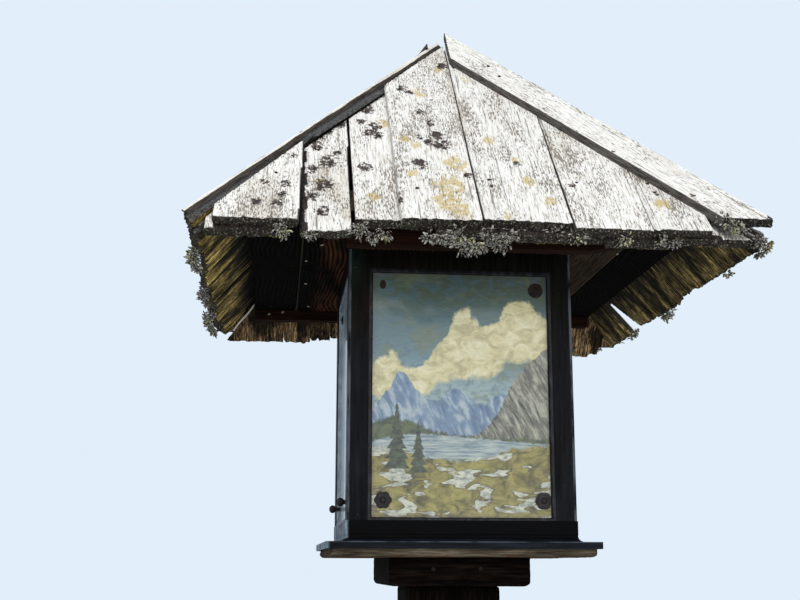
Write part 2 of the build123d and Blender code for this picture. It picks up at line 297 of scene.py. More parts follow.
def weather_board(board, chance, fray, voxel=BOARD_VOXEL, bow=BOW, ends=("low",)):
    """Gives one plain board its bow, hollowed grain and frayed ends, lying in its own axes."""
    shift = chance.uniform(2, 60)
    apply_modifier(board, "REMESH", mode="VOXEL", voxel_size=voxel, adaptivity=0.0)
    places, normals = corners(board), corners(board, "normal")
    low, high = places[:, 1].min(), places[:, 1].max()
    store(board, "face_up", np.clip((normals[:, 2] - 0.3) / 0.5, 0, 1))
    store(board, "face_end", np.clip((np.abs(normals[:, 1]) - 0.35) / 0.3, 0, 1))
    frayed = board.vertex_groups.new(name="frayed")
    for index, along in enumerate(places[:, 1]):
        depth = min([along - low if end == "low" else high - along for end in ends])
        if depth < FRAYED_LENGTH:
            frayed.add([index], (1 - depth / FRAYED_LENGTH) ** 1.5, "REPLACE")
    if fray:
        displace(board, frayed_clouds, fray, "Y", lengthen=5, group="frayed", shift=shift)
        displace(board, frayed_clouds, END_ROUGHNESS, "NORMAL", lengthen=1.5, group="frayed", shift=shift + 1)
    displace(board, fine_clouds, GROOVE_DEPTH, "NORMAL", lengthen=14, shift=shift + 2)
    displace(board, broad_clouds, bow, "Z", lengthen=1.4, shift=shift + 3)
    return shift


def mark_grain(board, shift, tone):
    """Keeps the board's own directions and tone for its finish."""
    places = corners(board)
    store(board, "slope", places, "FLOAT_VECTOR")
    store(board, "grain", places + np.array([shift, 3.1 * shift, 0.5 * shift]), "FLOAT_VECTOR")
    store(board, "tone", np.full(len(places), tone))


def join_boards(boards, name, axes):
    select_only(*boards)
    bpy.ops.object.join()
    piece = boards[0]
    piece.name = piece.data.name = name
    piece.data.transform(axes)
    piece.vertex_groups.clear()
    select_only(piece)
    bpy.ops.object.shade_smooth_by_angle(angle=BOARD_SMOOTHING)
    return piece


def move_hip_end(board, left, right):
    """Lengthens or shortens a board at its upper end, more at one corner than at the other."""
    places = corners(board)
    low_end, first, last = places[:, 1].min(), places[:, 0].min(), places[:, 0].max()
    for vertex in board.data.vertices:
        if vertex.co.y > low_end + BOARD_FOOT:
            share = (vertex.co.x - first) / (last - first)
            vertex.co.y += left + (right - left) * share


def open_joint(board):
    """Planes a board's right-hand edge to a taper, so that the joint beside it gapes."""
    places = corners(board)
    low, high, last = places[:, 1].min(), places[:, 1].max(), places[:, 0].max()
    for vertex in board.data.vertices:
        if vertex.co.x > last - BOARD_THICKNESS:
            vertex.co.x -= GAPE_FOOT + (GAPE_HEAD - GAPE_FOOT) * (vertex.co.y - low) / (high - low)


def widen(board, more):
    across = corners(board)[:, 0]
    middle = Matrix.Translation((across.mean(), 0, 0))
    wider = Matrix.Diagonal((1 + more / (across.max() - across.min()), 1, 1, 1))
    board.data.transform(middle @ wider @ middle.inverted())


def fit_board(board, side, layer, place):
    """Gives a plain board its true ends and edges; returns how frayed it is."""
    if (side, layer, place) == GAPING:
        open_joint(board)
    if layer == "upper":
        if (side, place) in HIP_ENDS:
            move_hip_end(board, *HIP_ENDS[side, place])
        widen(board, TIGHT_BOARDS.get((side, place), UPPER_WIDENED))
        return 1.0
    if (side, place) in RAGGED:
        widen(board, RAGGED[side, place][0])
        return RAGGED[side, place][1]
    return 1.0


def lichen_dirt_and_shade(places, side, layer, patches):
    """Lichen at each vertex: round patches, heavy grime where water stands, and painted shade beside the left
    hip and the front's raised edge.
    """
    across, along = places[:, 0], places[:, 1]
    cover = patch_mask(places, patches)
    if (side, layer) == ("left", "upper"):
        # Grime and the cover's painted shadow: a dark band on the left slope's upper boards along the hip.
        outer_apex = 2 * BOARD_THICKNESS * sin(SLOPE)
        from_hip = (outer_apex - along * cos(SLOPE) - across) * cos(atan(cos(SLOPE)))
        cover[from_hip < HIP_DIRT_AND_SHADOW] = HEAVY_DIRT_AND_SHADE
    if (side, layer) == ("front", "lower"):
        # A painted shadow: the strip beside the first upper board's raised edge is laid dark on the lower
        # board.
        low, high, head = PAINTED_SHADOW_STRIP
        cover[(across > low) & (across < high + 0.003 * np.sin(70 * along)) & (along < head)] = HEAVY_DIRT_AND_SHADE
    if layer == "lower":
        lapped = np.ones(len(places), bool)
        for low, high in BARE_ENDS[side]:
            lapped &= (across < low) | (across > high)
        cover[(along < LEDGE_DIRT - EAVE_RUN) & lapped] = HEAVY_DIRT_AND_SHADE
    return cover


def roof_layer(side, layer):
    node = f"roof_{layer}_{side}"
    chance = random.Random(node)
    axes = slope_axes(side)
    boards = solids_of(node, axes)
    if side == "front":
        dark, ochre = (DARK_UPPER, OCHRE_UPPER) if layer == "upper" else (DARK_LOWER, OCHRE_LOWER)
    else:
        dark = [(chance.uniform(-0.5, 0.5), chance.uniform(-0.78, -0.1), chance.uniform(0.007, 0.02))
                for _ in range(PATCHES_PER_SLOPE)]
        ochre = [(chance.uniform(-0.5, 0.5), chance.uniform(-0.78, -0.3), chance.uniform(0.012, 0.03))
                 for _ in range(PATCHES_PER_SLOPE // 2)]
    if (side, layer) == ("front", "upper"):
        boards[0].data.transform(BOARD_LEAN)
    for place, board in enumerate(boards):
        ragged = fit_board(board, side, layer, place)
        shift = weather_board(board, chance, FRAY[side] * ragged * chance.uniform(0.7, 1.3))
        places = corners(board)
        # The lichen level also carries the painted shade beside the left hip and the front's raised edge.
        store(board, "lichen", lichen_dirt_and_shade(places, side, layer, dark))
        store(board, "algae", patch_mask(places, ochre))
        mark_grain(board, shift, chance.uniform(-1, 1))
        middle = Vector([places[:, axis].mean() for axis in range(3)])
        lean = Matrix.Rotation(chance.uniform(-TILT, TILT), 4, "Y")
        skew = Matrix.Rotation(chance.uniform(-SKEW, SKEW), 4, "Z")
        board.data.transform(Matrix.Translation(middle) @ lean @ skew @ Matrix.Translation(-middle))
    return join_boards(boards, f"weathered_{layer}_boards_{side}", axes)


class Tone:
    """What a shader node gives, with the sums, patterns and mixes that finishes are made of."""

    def __init__(self, tree, kind, inputs, output=0, **settings):
        self.tree, self.node = tree, tree.nodes.new("ShaderNode" + kind)
        for name, value in settings.items():
            setattr(self.node, name, value)
        for key, value in inputs.items():
            if isinstance(value, Tone):
                tree.links.new(value.output, self.node.inputs[key])
            else:
                self.node.inputs[key].default_value = value
        self.output = self.node.outputs[output]

    def maths(self, operation, other=0.0):
        return Tone(self.tree, "Math", {0: self, 1: other}, operation=operation)

    def __add__(self, other):
        return self.maths("ADD", other)

    def __sub__(self, other):
        return self.maths("SUBTRACT", other)

    def __rsub__(self, other):
        return Tone(self.tree, "Math", {0: other, 1: self}, operation="SUBTRACT")

    def __mul__(self, other):
        return self.maths("MULTIPLY", other)

    def __abs__(self):
        return self.maths("ABSOLUTE")

    def axis(self, index):
        return Tone(self.tree, "SeparateXYZ", {0: self}, index)

    def vector(self, operation, inputs, output=0):
        return Tone(self.tree, "VectorMath", {0: self, **inputs}, output, operation=operation)

    def mapped(self, **inputs):
        return Tone(self.tree, "Mapping", {"Vector": self, **inputs})

    def noise(self, scale, detail=3.0, roughness=0.6, distortion=0.0):
        inputs = {"Vector": self.mapped(Scale=scale), "Scale": 1.0, "Detail": detail, "Roughness": roughness}
        return Tone(self.tree, "TexNoise", {**inputs, "Distortion": distortion})

    def step(self, low, high):
        """0 below low, 1 above high, smooth between them."""
        inputs = {"Value": self, "From Min": low, "From Max": high}
        return Tone(self.tree, "MapRange", inputs, interpolation_type="SMOOTHSTEP")

    def spread(self, low, high, first=0.0, last=1.0):
        """Goes evenly from low to high while the level goes from first to last."""
        ends = {"From Min": first, "From Max": last, "To Min": low, "To Max": high}
        return Tone(self.tree, "MapRange", {"Value": self, **ends})

    def ramp(self, *stops):
        made = Tone(self.tree, "ValToRGB", {0: self})
        elements = made.node.color_ramp.elements
        while len(elements) < len(stops):
            elements.new(1)
        for element, (position, colour) in zip(elements, stops):
            element.position = position
            element.color = (*colour, 1)
        return made

    def lay(self, level, colour):
        """Lays another colour over this one where the level is 1."""
        over = colour if isinstance(colour, Tone) else (*colour, 1)
        return Tone(self.tree, "Mix", {0: level, 6: self, 7: over}, 2, data_type="RGBA")

    def shade(self, colour, low, high):
        """Darkens or lightens a colour by this level between two factors."""
        return Tone(self.tree, "VectorMath", {0: colour, "Scale": self.spread(low, high)}, operation="SCALE")


class Finish:
    """A new material: the places that its patterns read, and what its shader takes."""

    def __init__(self, name, roughness=0.8):
        self.material = bpy.data.materials.new(name)
        self.material.use_nodes = True
        self.tree = self.material.node_tree
        self.shader = self.tree.nodes["Principled BSDF"]
        self.set("Roughness", roughness)

    def set(self, name, value):
        if isinstance(value, Tone):
            self.tree.links.new(value.output, self.shader.inputs[name])
        else:
            self.shader.inputs[name].default_value = value

    def place(self):
        return Tone(self.tree, "TexCoord", {}, "Object")

    def kept(self, name, output="Fac"):
        """What the mesh keeps for its finish under a name."""
        return Tone(self.tree, "Attribute", {}, output, attribute_name=name)

    def facing(self, direction, low, high):
        """1 where the surface looks along the direction."""
        normal = Tone(self.tree, "NewGeometry", {}, "True Normal")
        return normal.vector("DOT_PRODUCT", {1: direction}, "Value").step(low, high)

    def take(self, colour, relief, distance, specular=None):
        """Gives the shader its colour and relief; returns the finished material."""
        self.set("Base Color", colour)
        self.set("Normal", Tone(self.tree, "Bump", {"Height": relief, "Distance": distance, "Strength": 1.0}))
        if specular is not None:
            self.set("Specular IOR Level", specular)
        return self.material


# Undersides, from their grooves to their ridges: the left slope is mossy, the others brown
UNDERSIDES = {
    "front": ((0.012, 0.009, 0.004), (0.085, 0.070, 0.022), (0.26, 0.21, 0.075)),
    "right": ((0.016, 0.011, 0.005), (0.13, 0.092, 0.030), (0.42, 0.31, 0.12)),
    "back": ((0.040, 0.026, 0.013), (0.165, 0.102, 0.048), (0.36, 0.235, 0.115)),
    "left": ((0.034, 0.021, 0.008), (0.25, 0.165, 0.042), (0.84, 0.62, 0.20)),
    "cover": ((0.008, 0.007, 0.006), (0.022, 0.018, 0.014), (0.060, 0.050, 0.040)),
}
# Where each underside turns near black towards the deck, as painted shade in the hollow under the roof: from
# and to, up the slope
UNDERSIDE_PAINTED_SHADE = {"front": (-0.74, -0.70), "right": (-0.755, -0.665), "back": (-0.70, -0.64),
                  "left": (-0.745, -0.680), "cover": (-0.70, -0.64)}
ENDS = {"front": (0.078, 0.067, 0.050), "right": (0.050, 0.042, 0.030), "back": (0.050, 0.038, 0.026),
        "left": (0.105, 0.088, 0.055), "cover": (0.045, 0.040, 0.034)}
# The front's raised edge that the sun has bleached, and how far a face looks down where it
# stops being a flank and is underside
WHITE_FLANK = -0.157
BOARD_FLANK_TURN, COVER_FLANK_TURN = (-0.30, -0.05), (-0.58, -0.47)


def board_finish(name, side, edge, bleach=0.0, arris=None):
    """Old board: weathered face raised near white as painted sunlight, olive underside going black towards
    the deck as painted shade, black rotten ends.
    """
    finish = Finish(name, roughness=0.88)
    grain, slope = finish.kept("grain", "Vector"), finish.kept("slope", "Vector")
    fibre = grain.noise((380, 30, 380), detail=5, roughness=0.65)
    dash = grain.noise((420, 88, 420))
    cracks = grain.noise((240, 5, 240), detail=2, roughness=0.5).step(0.665, 0.70)
    broad = grain.noise((9, 2.6, 9))
    cluster = grain.noise((26, 9, 26), detail=4)
    speckle = grain.noise((125, 96, 125), detail=5, roughness=0.68)
    mottle = grain.noise((75, 50, 75), detail=4, roughness=0.7)

    # The face: silvered wood, raised near white as painted sunlight.
    face = fibre.ramp((0.36, (0.42, 0.385, 0.33)), (0.45, (0.80, 0.77, 0.71)), (0.54, (0.96, 0.95, 0.915)))
    face = face.lay((broad + bleach).step(0.50, 0.30) * 0.55, (0.57, 0.49, 0.38))
    face = finish.kept("tone").shade(face, 1.0, 1.05)
    dashes = (dash + (cluster * 0.55 + broad * -0.35)).step(0.670 + bleach, 0.715 + bleach)
    face = face.lay(dashes * 0.85, (0.205, 0.165, 0.125))
    face = face.lay(cracks * 0.7, (0.16, 0.135, 0.11))
    algae = (finish.kept("algae") * 0.32 + mottle).step(0.70, 0.84) * dash.step(0.70, 0.50)
    face = face.lay(algae * 0.88, (0.66, 0.52, 0.235))
    lichen = finish.kept("lichen")
    crusts = dash.ramp((0.42, (0.015, 0.011, 0.010)), (0.62, (0.145, 0.112, 0.100)))
    # Where the mesh keeps heavy grime and painted shade, the crusts are darker still.
    crusts = lichen.step(1.2, 1.9).shade(crusts, 1.0, 0.45)
    face = face.lay((lichen * 0.30 + speckle).step(0.70, 0.76), crusts)

    streak = grain.noise((210, 7, 210), detail=5, roughness=0.7)
    under = streak.ramp(*zip((0.40, 0.50, 0.61), UNDERSIDES[side]))
    under = grain.noise((17, 8, 17), detail=4).step(0.40, 0.60).shade(under, 0.12, 1.85)
    under = grain.noise((360, 60, 360), roughness=0.7).step(0.40, 0.60).shade(under, 0.22, 1.60)
    inner = slope.axis(1) + (grain.noise((60, 3, 60), detail=4, roughness=0.65) * 0.28 - 0.14)
    # Painted shade: the underside is laid near black towards the deck, with ragged fingers.
    under = under.lay(inner.step(*UNDERSIDE_PAINTED_SHADE[side]), (0.006, 0.005, 0.004))

    crust = grain.noise((260, 200, 260), detail=4, roughness=0.7)
    rotten = tuple(0.2 * part for part in ENDS[side])
    end = crust.ramp((0.47, rotten), (0.59, ENDS[side]), (0.67, (0.45, 0.43, 0.37)))
    flank = fibre.ramp(*zip((0.38, 0.60), edge))
    if arris:
        # A painted highlight: the upper part of the cover's edge is laid pale, as where light falls on it;
        # the lower part keeps the edge's colour.
        low_edge = slope.axis(1).spread(0.0562, 0.0515, first=-0.45, last=-0.05) + (cluster - 0.5) * 0.010
        flank = flank.lay((slope.axis(2) - low_edge).step(-0.0006, 0.0006), fibre.shade(arris, 0.6, 1.35))
    if side == "front":
        flank = flank.lay(abs(slope.axis(0) - WHITE_FLANK).step(0.014, 0.009) * 0.9, face)

    turn = COVER_FLANK_TURN if side == "cover" else BOARD_FLANK_TURN
    colour = under.lay(finish.facing((0, 0, 1), *turn), flank)
    colour = colour.lay(finish.kept("face_up").step(0.25, 0.75), face)
    colour = colour.lay(finish.kept("face_end").step(0.60, 0.90), end)
    relief = fibre - dashes * 0.4 - cracks * 0.8 + streak * 0.8
    return finish.take(colour, relief, distance=0.0020, specular=0.2)


DARK_FLANK = ((0.018, 0.016, 0.014), (0.085, 0.078, 0.068))
GREY_FLANK = ((0.030, 0.030, 0.032), (0.135, 0.135, 0.136))
for side in SIDES:
    finish = board_finish("silvered_boards_" + side, side, edge=GREY_FLANK if side == "left" else DARK_FLANK)
    for layer in ("lower", "upper"):
        boards = roof_layer(side, layer)
        boards.data.materials.append(finish)
        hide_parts(f"roof_{layer}_{side}")
        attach(boards, "root")


# Hip covers: one board along each hip, on the slope's own boards, with its head cut at the
# ridge point. Its upper face is bleached, near white as painted sunlight; the edge towards the slope is
# weathered grey with painted shade, and the left cover's edge has a painted highlight along its top.
HIP_TURN = atan(cos(SLOPE))
COVER_FRAY = 0.008
COVER_VOXEL = 0.004
COVER_BOW = 0.002
COVER_BLEACH = 0.05
SPOT_RADIUS = 0.006
# The covers' edges towards their slopes: weathered grey, with the light and shade that falls on each side
# painted in, darkest on the left.
COVER_EDGES = {
    "front": ((0.036, 0.032, 0.029), (0.160, 0.148, 0.134)),
    "right": ((0.030, 0.026, 0.024), (0.14, 0.13, 0.12)),
    "back": ((0.024, 0.021, 0.019), (0.11, 0.10, 0.09)),
    "left": ((0.018, 0.015, 0.013), (0.085, 0.072, 0.060)),
}
LEFT_EDGE_PAINTED_HIGHLIGHT = (0.90, 0.86, 0.77)


def hip_cover(side):
    node = "hip_cover_" + side
    chance = random.Random(node)
    axes = slope_axes(side) @ Matrix.Rotation(HIP_TURN, 4, "Z")
    boards = solids_of(node, axes)
    for board in boards:
        shift = weather_board(board, chance, COVER_FRAY, voxel=COVER_VOXEL, bow=COVER_BOW)
        places = corners(board)
        first, last = places[:, 0].min(), places[:, 0].max()
        spots = [(chance.uniform(first, last), chance.uniform(-0.95, -0.5), SPOT_RADIUS) for _ in range(3)]
        store(board, "lichen", patch_mask(places, spots))
        store(board, "algae", patch_mask(places, []))
        mark_grain(board, shift, 1.0)
    return join_boards(boards, "weathered_hip_cover_" + side, axes)


for side in SIDES:
    cover = hip_cover(side)
    arris = LEFT_EDGE_PAINTED_HIGHLIGHT if side == "left" else None
    finish = board_finish("bleached_cover_" + side, "cover", COVER_EDGES[side], COVER_BLEACH, arris)
    cover.data.materials.append(finish)
    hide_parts("hip_cover_" + side)
    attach(cover, "root")


# Roof nails: wrought heads, rusty black, in pairs through each cover and in a row along each
# slope above the wall plate. They sit almost flush in the wood.
NAIL_RADIUS = 0.0036
NAIL_HEIGHT = 0.0022
COVER_NAIL_STATIONS = (0.17, 0.50, 0.86)
COVER_NAIL_SPREAD = 0.018
FRONT_COVER_NAILS = ((0.084, -0.133), (0.1025, -0.185), (0.367, -0.676), (0.3855, -0.698))
COVER_MIDDLE = 0.041
COVER_REACH = {"front": 0.005, "right": 0.0, "back": 0.024, "left": -0.034}
BOARD_NAIL_ALONG = (-0.62, -0.655)
BOARD_NAIL_ACROSS = (-0.39, -0.12, 0.027, 0.20, 0.345)
DARK_RUST, BRIGHT_RUST = (0.010, 0.008, 0.007), (0.050, 0.028, 0.018)


def nail_head():
    """One hammered head, pointing along Z, that the others are copied from."""
    head = primitive(bpy.ops.mesh.primitive_cylinder_add, vertices=9, radius=NAIL_RADIUS, depth=NAIL_HEIGHT)
    head.name = "nail_pattern"
    bpy.ops.object.mode_set(mode="EDIT")
    bpy.ops.mesh.select_all(action="DESELECT")
    bpy.ops.object.mode_set(mode="OBJECT")
    for face in head.data.polygons:
        face.select = face.normal.z > 0.9
    bpy.ops.object.mode_set(mode="EDIT")
    bpy.ops.mesh.select_mode(type="FACE")
    bpy.ops.mesh.inset(thickness=NAIL_RADIUS * 0.45, depth=NAIL_HEIGHT * 0.35)
    bpy.ops.object.mode_set(mode="OBJECT")
    return head


def copies_joined(pattern, places, name):
    """Copies of one small piece at the given places, joined as one mesh."""
    copies = []
    for place in places:
        copied = bpy.data.objects.new(name, pattern.data.copy())
        bpy.context.scene.collection.objects.link(copied)
        copied.data.transform(place)
        copies.append(copied)
    select_only(*copies)
    bpy.ops.object.join()
    copies[0].name = copies[0].data.name = name
    return copies[0]


def rust_finish(name, dark=DARK_RUST, bright=BRIGHT_RUST, roughness=0.75):
    """Old iron: dark skin with rust blooms, dull, with a pitted surface."""
    finish = Finish(name, roughness)
    finish.set("Metallic", 0.35)
    bloom = finish.place().noise((90, 90, 90), detail=4, roughness=0.65)
    pits = finish.place().noise((600, 600, 600), detail=2)
    colour = pits.shade(bloom.ramp((0.38, dark), (0.62, bright)), 0.6, 1.3)
    return finish.take(colour, pits, distance=0.0006)


def roof_nail_places():
    chance = random.Random("roof nails")
    places = []
    for side in SIDES:
        axes = slope_axes(side)
        hip = axes @ Matrix.Rotation(HIP_TURN, 4, "Z")
        outer_apex = 2 * BOARD_THICKNESS / cos(SLOPE) * sin(SLOPE)
        apex_across, apex_along = outer_apex * sin(HIP_TURN), outer_apex * cos(HIP_TURN)
        middle = apex_across + COVER_REACH[side] - COVER_MIDDLE
        if side == "front":
            places += [axes @ Matrix.Translation((*spot, 3 * BOARD_THICKNESS)) for spot in FRONT_COVER_NAILS]
        for station in COVER_NAIL_STATIONS:
            for offset in (-COVER_NAIL_SPREAD, COVER_NAIL_SPREAD) if side != "front" else ():
                across = middle + offset + chance.uniform(-0.004, 0.004)
                along = apex_along - station + chance.uniform(-0.02, 0.02)
                places.append(hip @ Matrix.Translation((across, along, 3 * BOARD_THICKNESS)))
        for across in BOARD_NAIL_ACROSS:
            along = chance.choice(BOARD_NAIL_ALONG) + chance.uniform(-0.01, 0.01)
            places.append(axes @ Matrix.Translation((across, along, 2 * BOARD_THICKNESS)))
    return places


nail = nail_head()
roof_nails = copies_joined(nail, roof_nail_places(), "roof_nails")
roof_nails.data.materials.append(rust_finish("rusty_nail"))
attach(roof_nails, "root")


# Lichen: leafy tufts that hang from the ends of the boards, thickest over the front and the
# corners. Each tuft is many small curled lobes that grow outwards from one spot.
LOBE_LENGTH = 0.0105
LOBE_CURL = 70.0
LOBES_PER_COUNT = 1.9
ON_COVER_HEIGHT = 2.4 * BOARD_THICKNESS

# Tufts: across and below the eave line in the slope's own axes, size and number of lobes
TUFTS = {
    "front": (
        (-0.377, 0.004, 0.020, 34), (-0.325, 0.002, 0.012, 16), (-0.235, -0.004, 0.021, 40),
        (-0.210, 0.010, 0.016, 24), (-0.188, 0.010, 0.014, 18), (-0.105, 0.006, 0.018, 26),
        (-0.085, 0.016, 0.012, 14), (-0.062, 0.000, 0.024, 46), (-0.046, 0.020, 0.025, 50),
        (-0.024, 0.028, 0.021, 36), (0.004, 0.010, 0.026, 54), (0.026, 0.022, 0.024, 46),
        (0.044, 0.004, 0.016, 22), (0.135, -0.016, 0.019, 30), (0.172, -0.012, 0.018, 26),
        (0.185, -0.006, 0.014, 20), (0.262, 0.006, 0.015, 20), (0.335, 0.000, 0.014, 18),
        (0.360, 0.003, 0.013, 16), (0.522, 0.004, 0.014, 26), (0.530, -0.020, 0.011, 16),
    ),
    "right": (
        (-0.522, 0.002, 0.018, 32), (-0.498, 0.006, 0.013, 18), (-0.330, 0.004, 0.010, 10),
        (0.070, 0.008, 0.022, 36), (0.110, 0.010, 0.012, 14), (0.360, 0.004, 0.020, 30),
        (0.480, 0.0, 0.012, 12),
    ),
    "back": (
        (-0.44, 0.004, 0.018, 26), (-0.30, 0.006, 0.012, 14), (-0.12, 0.006, 0.022, 36),
        (0.02, 0.0, 0.014, 18), (0.16, 0.008, 0.020, 30), (-0.50, 0.004, 0.018, 26),
    ),
    "left": (
        (0.405, -0.004, 0.009, 12), (0.375, 0.000, 0.013, 26), (0.335, 0.004, 0.016, 38),
        (0.295, 0.005, 0.017, 40), (0.250, 0.002, 0.013, 24), (0.210, -0.002, 0.009, 12),
        (0.075, -0.002, 0.010, 18), (0.030, 0.004, 0.014, 34), (-0.020, 0.006, 0.015, 38),
        (-0.075, 0.004, 0.012, 26), (-0.120, 0.000, 0.009, 14), (-0.215, 0.000, 0.012, 24),
        (-0.275, 0.004, 0.016, 38), (-0.340, 0.006, 0.018, 44), (-0.400, 0.004, 0.016, 36),
        (-0.455, 0.002, 0.013, 24), (-0.500, 0.000, 0.009, 12),
    ),
}
# Some more sit higher up, on the lower edge of the front's hip cover
ON_COVER = ((0.414, -0.096, 0.007, 8), (0.452, -0.038, 0.010, 14), (0.462, -0.024, 0.013, 26),
            (0.474, -0.010, 0.013, 26), (0.484, 0.000, 0.011, 18))
TUFTS["front"] += ON_COVER


def lichen_lobe():
    """One closed, curled lobe with a wavy rim, growing along +X from the origin."""
    lobe = primitive(bpy.ops.mesh.primitive_uv_sphere_add, segments=9, ring_count=4, radius=0.5)
    lobe.name = "lobe_pattern"
    chance = random.Random("lobe")
    for vertex in lobe.data.vertices:
        x, y, z = vertex.co
        rim = 1 + 0.28 * chance.uniform(-1, 1) * (x * x + y * y) * 4
        x, y = (x * rim + 0.45) * LOBE_LENGTH, y * rim * 0.48 * LOBE_LENGTH
        vertex.co = (x, y, z * 0.0022 + LOBE_CURL * (0.8 * x * x + y * y) * 0.5)
    return lobe


def tuft_places(side):
    chance = random.Random("lichen " + side)
    axes = slope_axes(side)
    for tuft in TUFTS[side]:
        across, below_eave, size, count = tuft
        spot = Vector((across, -EAVE_RUN - below_eave, BOARD_THICKNESS * chance.uniform(0.4, 1.2)))
        if tuft in ON_COVER:
            spot.z = ON_COVER_HEIGHT
        for _ in range(int(count * LOBES_PER_COUNT)):
            away = Vector([chance.gauss(0, 1) for _ in range(3)]).normalized()
            away.y = -abs(away.y) * 0.8
            centre = spot + away * size * chance.uniform(0.15, 0.85)
            turn = away.to_track_quat("X", "Z").to_matrix().to_4x4()
            roll = Matrix.Rotation(chance.uniform(0, 2 * pi), 4, "X")
            tip = Matrix.Rotation(chance.uniform(-0.9, 0.9), 4, "Y")
            grown = Matrix.Scale(chance.uniform(0.5, 1.15), 4)
            yield axes @ Matrix.Translation(centre) @ turn @ roll @ tip @ grown


def lichen_finish():
    finish = Finish("leafy_lichen", roughness=0.95)
    patch = finish.place().noise((26, 26, 26), detail=2)
    fleck = finish.place().noise((230, 230, 230), roughness=0.7)
    colour = patch.ramp((0.40, (0.40, 0.38, 0.34)), (0.58, (0.52, 0.52, 0.45)), (0.68, (0.60, 0.58, 0.26)))
    colour = colour.lay(fleck.step(0.58, 0.44), (0.045, 0.036, 0.030))
    return finish.take(colour, fleck, distance=0.0012, specular=0.1)


lobe = lichen_lobe()
leafy = lichen_finish()
for side in SIDES:
    lichen = copies_joined(lobe, tuft_places(side), "lichen_" + side)
    lichen.data.materials.append(leafy)
    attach(lichen, "root")


# Deck: four broad planks from front to back on the box, with a batten under each end. The
# wood is coloured near black as painted shade under the roof; the planks next to the box still show red-brown
# wavy grain.
DECK_KNOT = (-0.370, -0.057)
DECK_JOINT = -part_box("deck_plank_left_inner")[0].x
DECK_SEAM = DECK_JOINT - 0.0018
RINGS_PER_METRE = 640
# Where the planks are red beside the box, brown at the right and scratched at the back
RED_PART = (0.305, 0.262)
BROWN_PART = (0.20, 0.23)
SCRATCHED_PART = (0.30, 0.38)


def give(node, finish):
    """A CAD node keeps its shape and takes a finish."""
    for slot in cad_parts[node].material_slots:
        slot.material = finish


def deck_finish():
    finish = Finish("near_black_planks_painted_shade", roughness=0.85)
    place = finish.place()
    across = place.axis(0)
    centred = place.mapped(Location=(-DECK_KNOT[0], -DECK_KNOT[1], 0))
    knot = centred.vector("MULTIPLY", {1: (1, 0.8, 0)}).vector("LENGTH", {}, "Value")
    swirl = knot.spread(0.075, 0.0, last=0.085)
    bend = place.noise((5, 3.2, 5), detail=1)
    rings = ((across + (swirl + bend * 0.10)) * RINGS_PER_METRE).maths("SINE")
    fibre = place.noise((260, 14, 260), detail=4)
    level = rings * 0.24 + (fibre + 0.02)
    # Painted shade: the planks are coloured near black, as they lie in the shade under the roof.
    dark = level.ramp((0.30, (0.0006, 0.0006, 0.0008)), (0.80, (0.0060, 0.0050, 0.0040)))
    red = level.ramp((0.30, (0.010, 0.0035, 0.002)), (0.80, (0.105, 0.040, 0.019)))
    brown = fibre.ramp((0.34, (0.010, 0.007, 0.005)), (0.66, (0.080, 0.055, 0.038)))
    beside_box = abs(across).step(*RED_PART) * place.noise((12, 3, 12), detail=2).step(0.38, 0.62)
    right_inner = across.step(*BROWN_PART) * across.step(DECK_JOINT, DECK_JOINT - 0.003)
    colour = dark.lay(beside_box, red).lay(right_inner * 0.85, brown)

    dust = place.noise((90, 90, 90), roughness=0.65).step(0.715, 0.75)
    scratch = place.noise((16, 240, 60), detail=2, roughness=0.4).step(0.745, 0.775)
    scratch = scratch * place.axis(1).step(*SCRATCHED_PART)
    arris = abs(DECK_SEAM - abs(across)).step(0.0020, 0.0010)
    pale = (dust * 0.30).maths("MAXIMUM", scratch).maths("MAXIMUM", arris * (bend * 0.22))
    colour = colour.lay(pale, (0.36, 0.29, 0.20))
    return finish.take(colour, level, distance=0.0010, specular=0.015)


planks = deck_finish()
for plank in ("left_outer", "left_inner", "right_inner", "right_outer"):
    give("deck_plank_" + plank, planks)


def sawn_finish(name, pale, dark, grain_axis, roughness=0.75):
    """Sawn timber with its grain along one axis, rubbed pale and stained dark."""
    finish = Finish(name, roughness)
    fine, coarse = [260, 260, 260], [34, 34, 34]
    fine[grain_axis], coarse[grain_axis] = 14, 3
    fibre = finish.place().noise(fine, detail=4, roughness=0.65)
    level = fibre * 0.55 + finish.place().noise(coarse) * 0.45
    return finish.take(level.ramp((0.38, dark), (0.62, pale)), fibre, distance=0.0018, specular=0.06)


batten_brown = sawn_finish("batten_brown", (0.030, 0.012, 0.007), (0.003, 0.0022, 0.002), grain_axis=0,
                           roughness=0.9)
give("deck_battens", batten_brown)

# Hidden carriers: plate, king post and hip rafters, plain sawn timber gone grey inside.
inner_timber = sawn_finish("inner_timber", (0.16, 0.12, 0.08), (0.05, 0.035, 0.022), grain_axis=2)
for node in ("roof_plate", "king_post", "hip_rafters"):
    give(node, inner_timber)


# Frame of the box: corner posts, rails and beads in black-brown oil paint, rubbed thin on the
# edges, with pale scuffs and a trace of green at the head.
frame_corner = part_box("corner_post_front_right")[1]
BOX_HALF, BOX_TOP = frame_corner.x, frame_corner.z
PAINT_CHANGE = (2.08, 2.28)
VERDIGRIS_DEPTH = 0.10
GREY_BEAD = ((0.44, (0.0045, 0.0045, 0.006)), (0.68, (0.034, 0.033, 0.042)))
# The left bead: pale blue-grey, partly bleached paint and partly painted sky light; on its faces that look to
# the front it is paler still, a painted highlight of sky light.
BLEACHED_AND_SKY_LIT_BEAD = ((0.44, (0.10, 0.13, 0.16)), (0.68, (0.34, 0.41, 0.47)))
PAINTED_SKY_LIGHT_BEAD = ((0.40, (0.40, 0.50, 0.60)), (0.64, (0.80, 0.86, 0.92)))


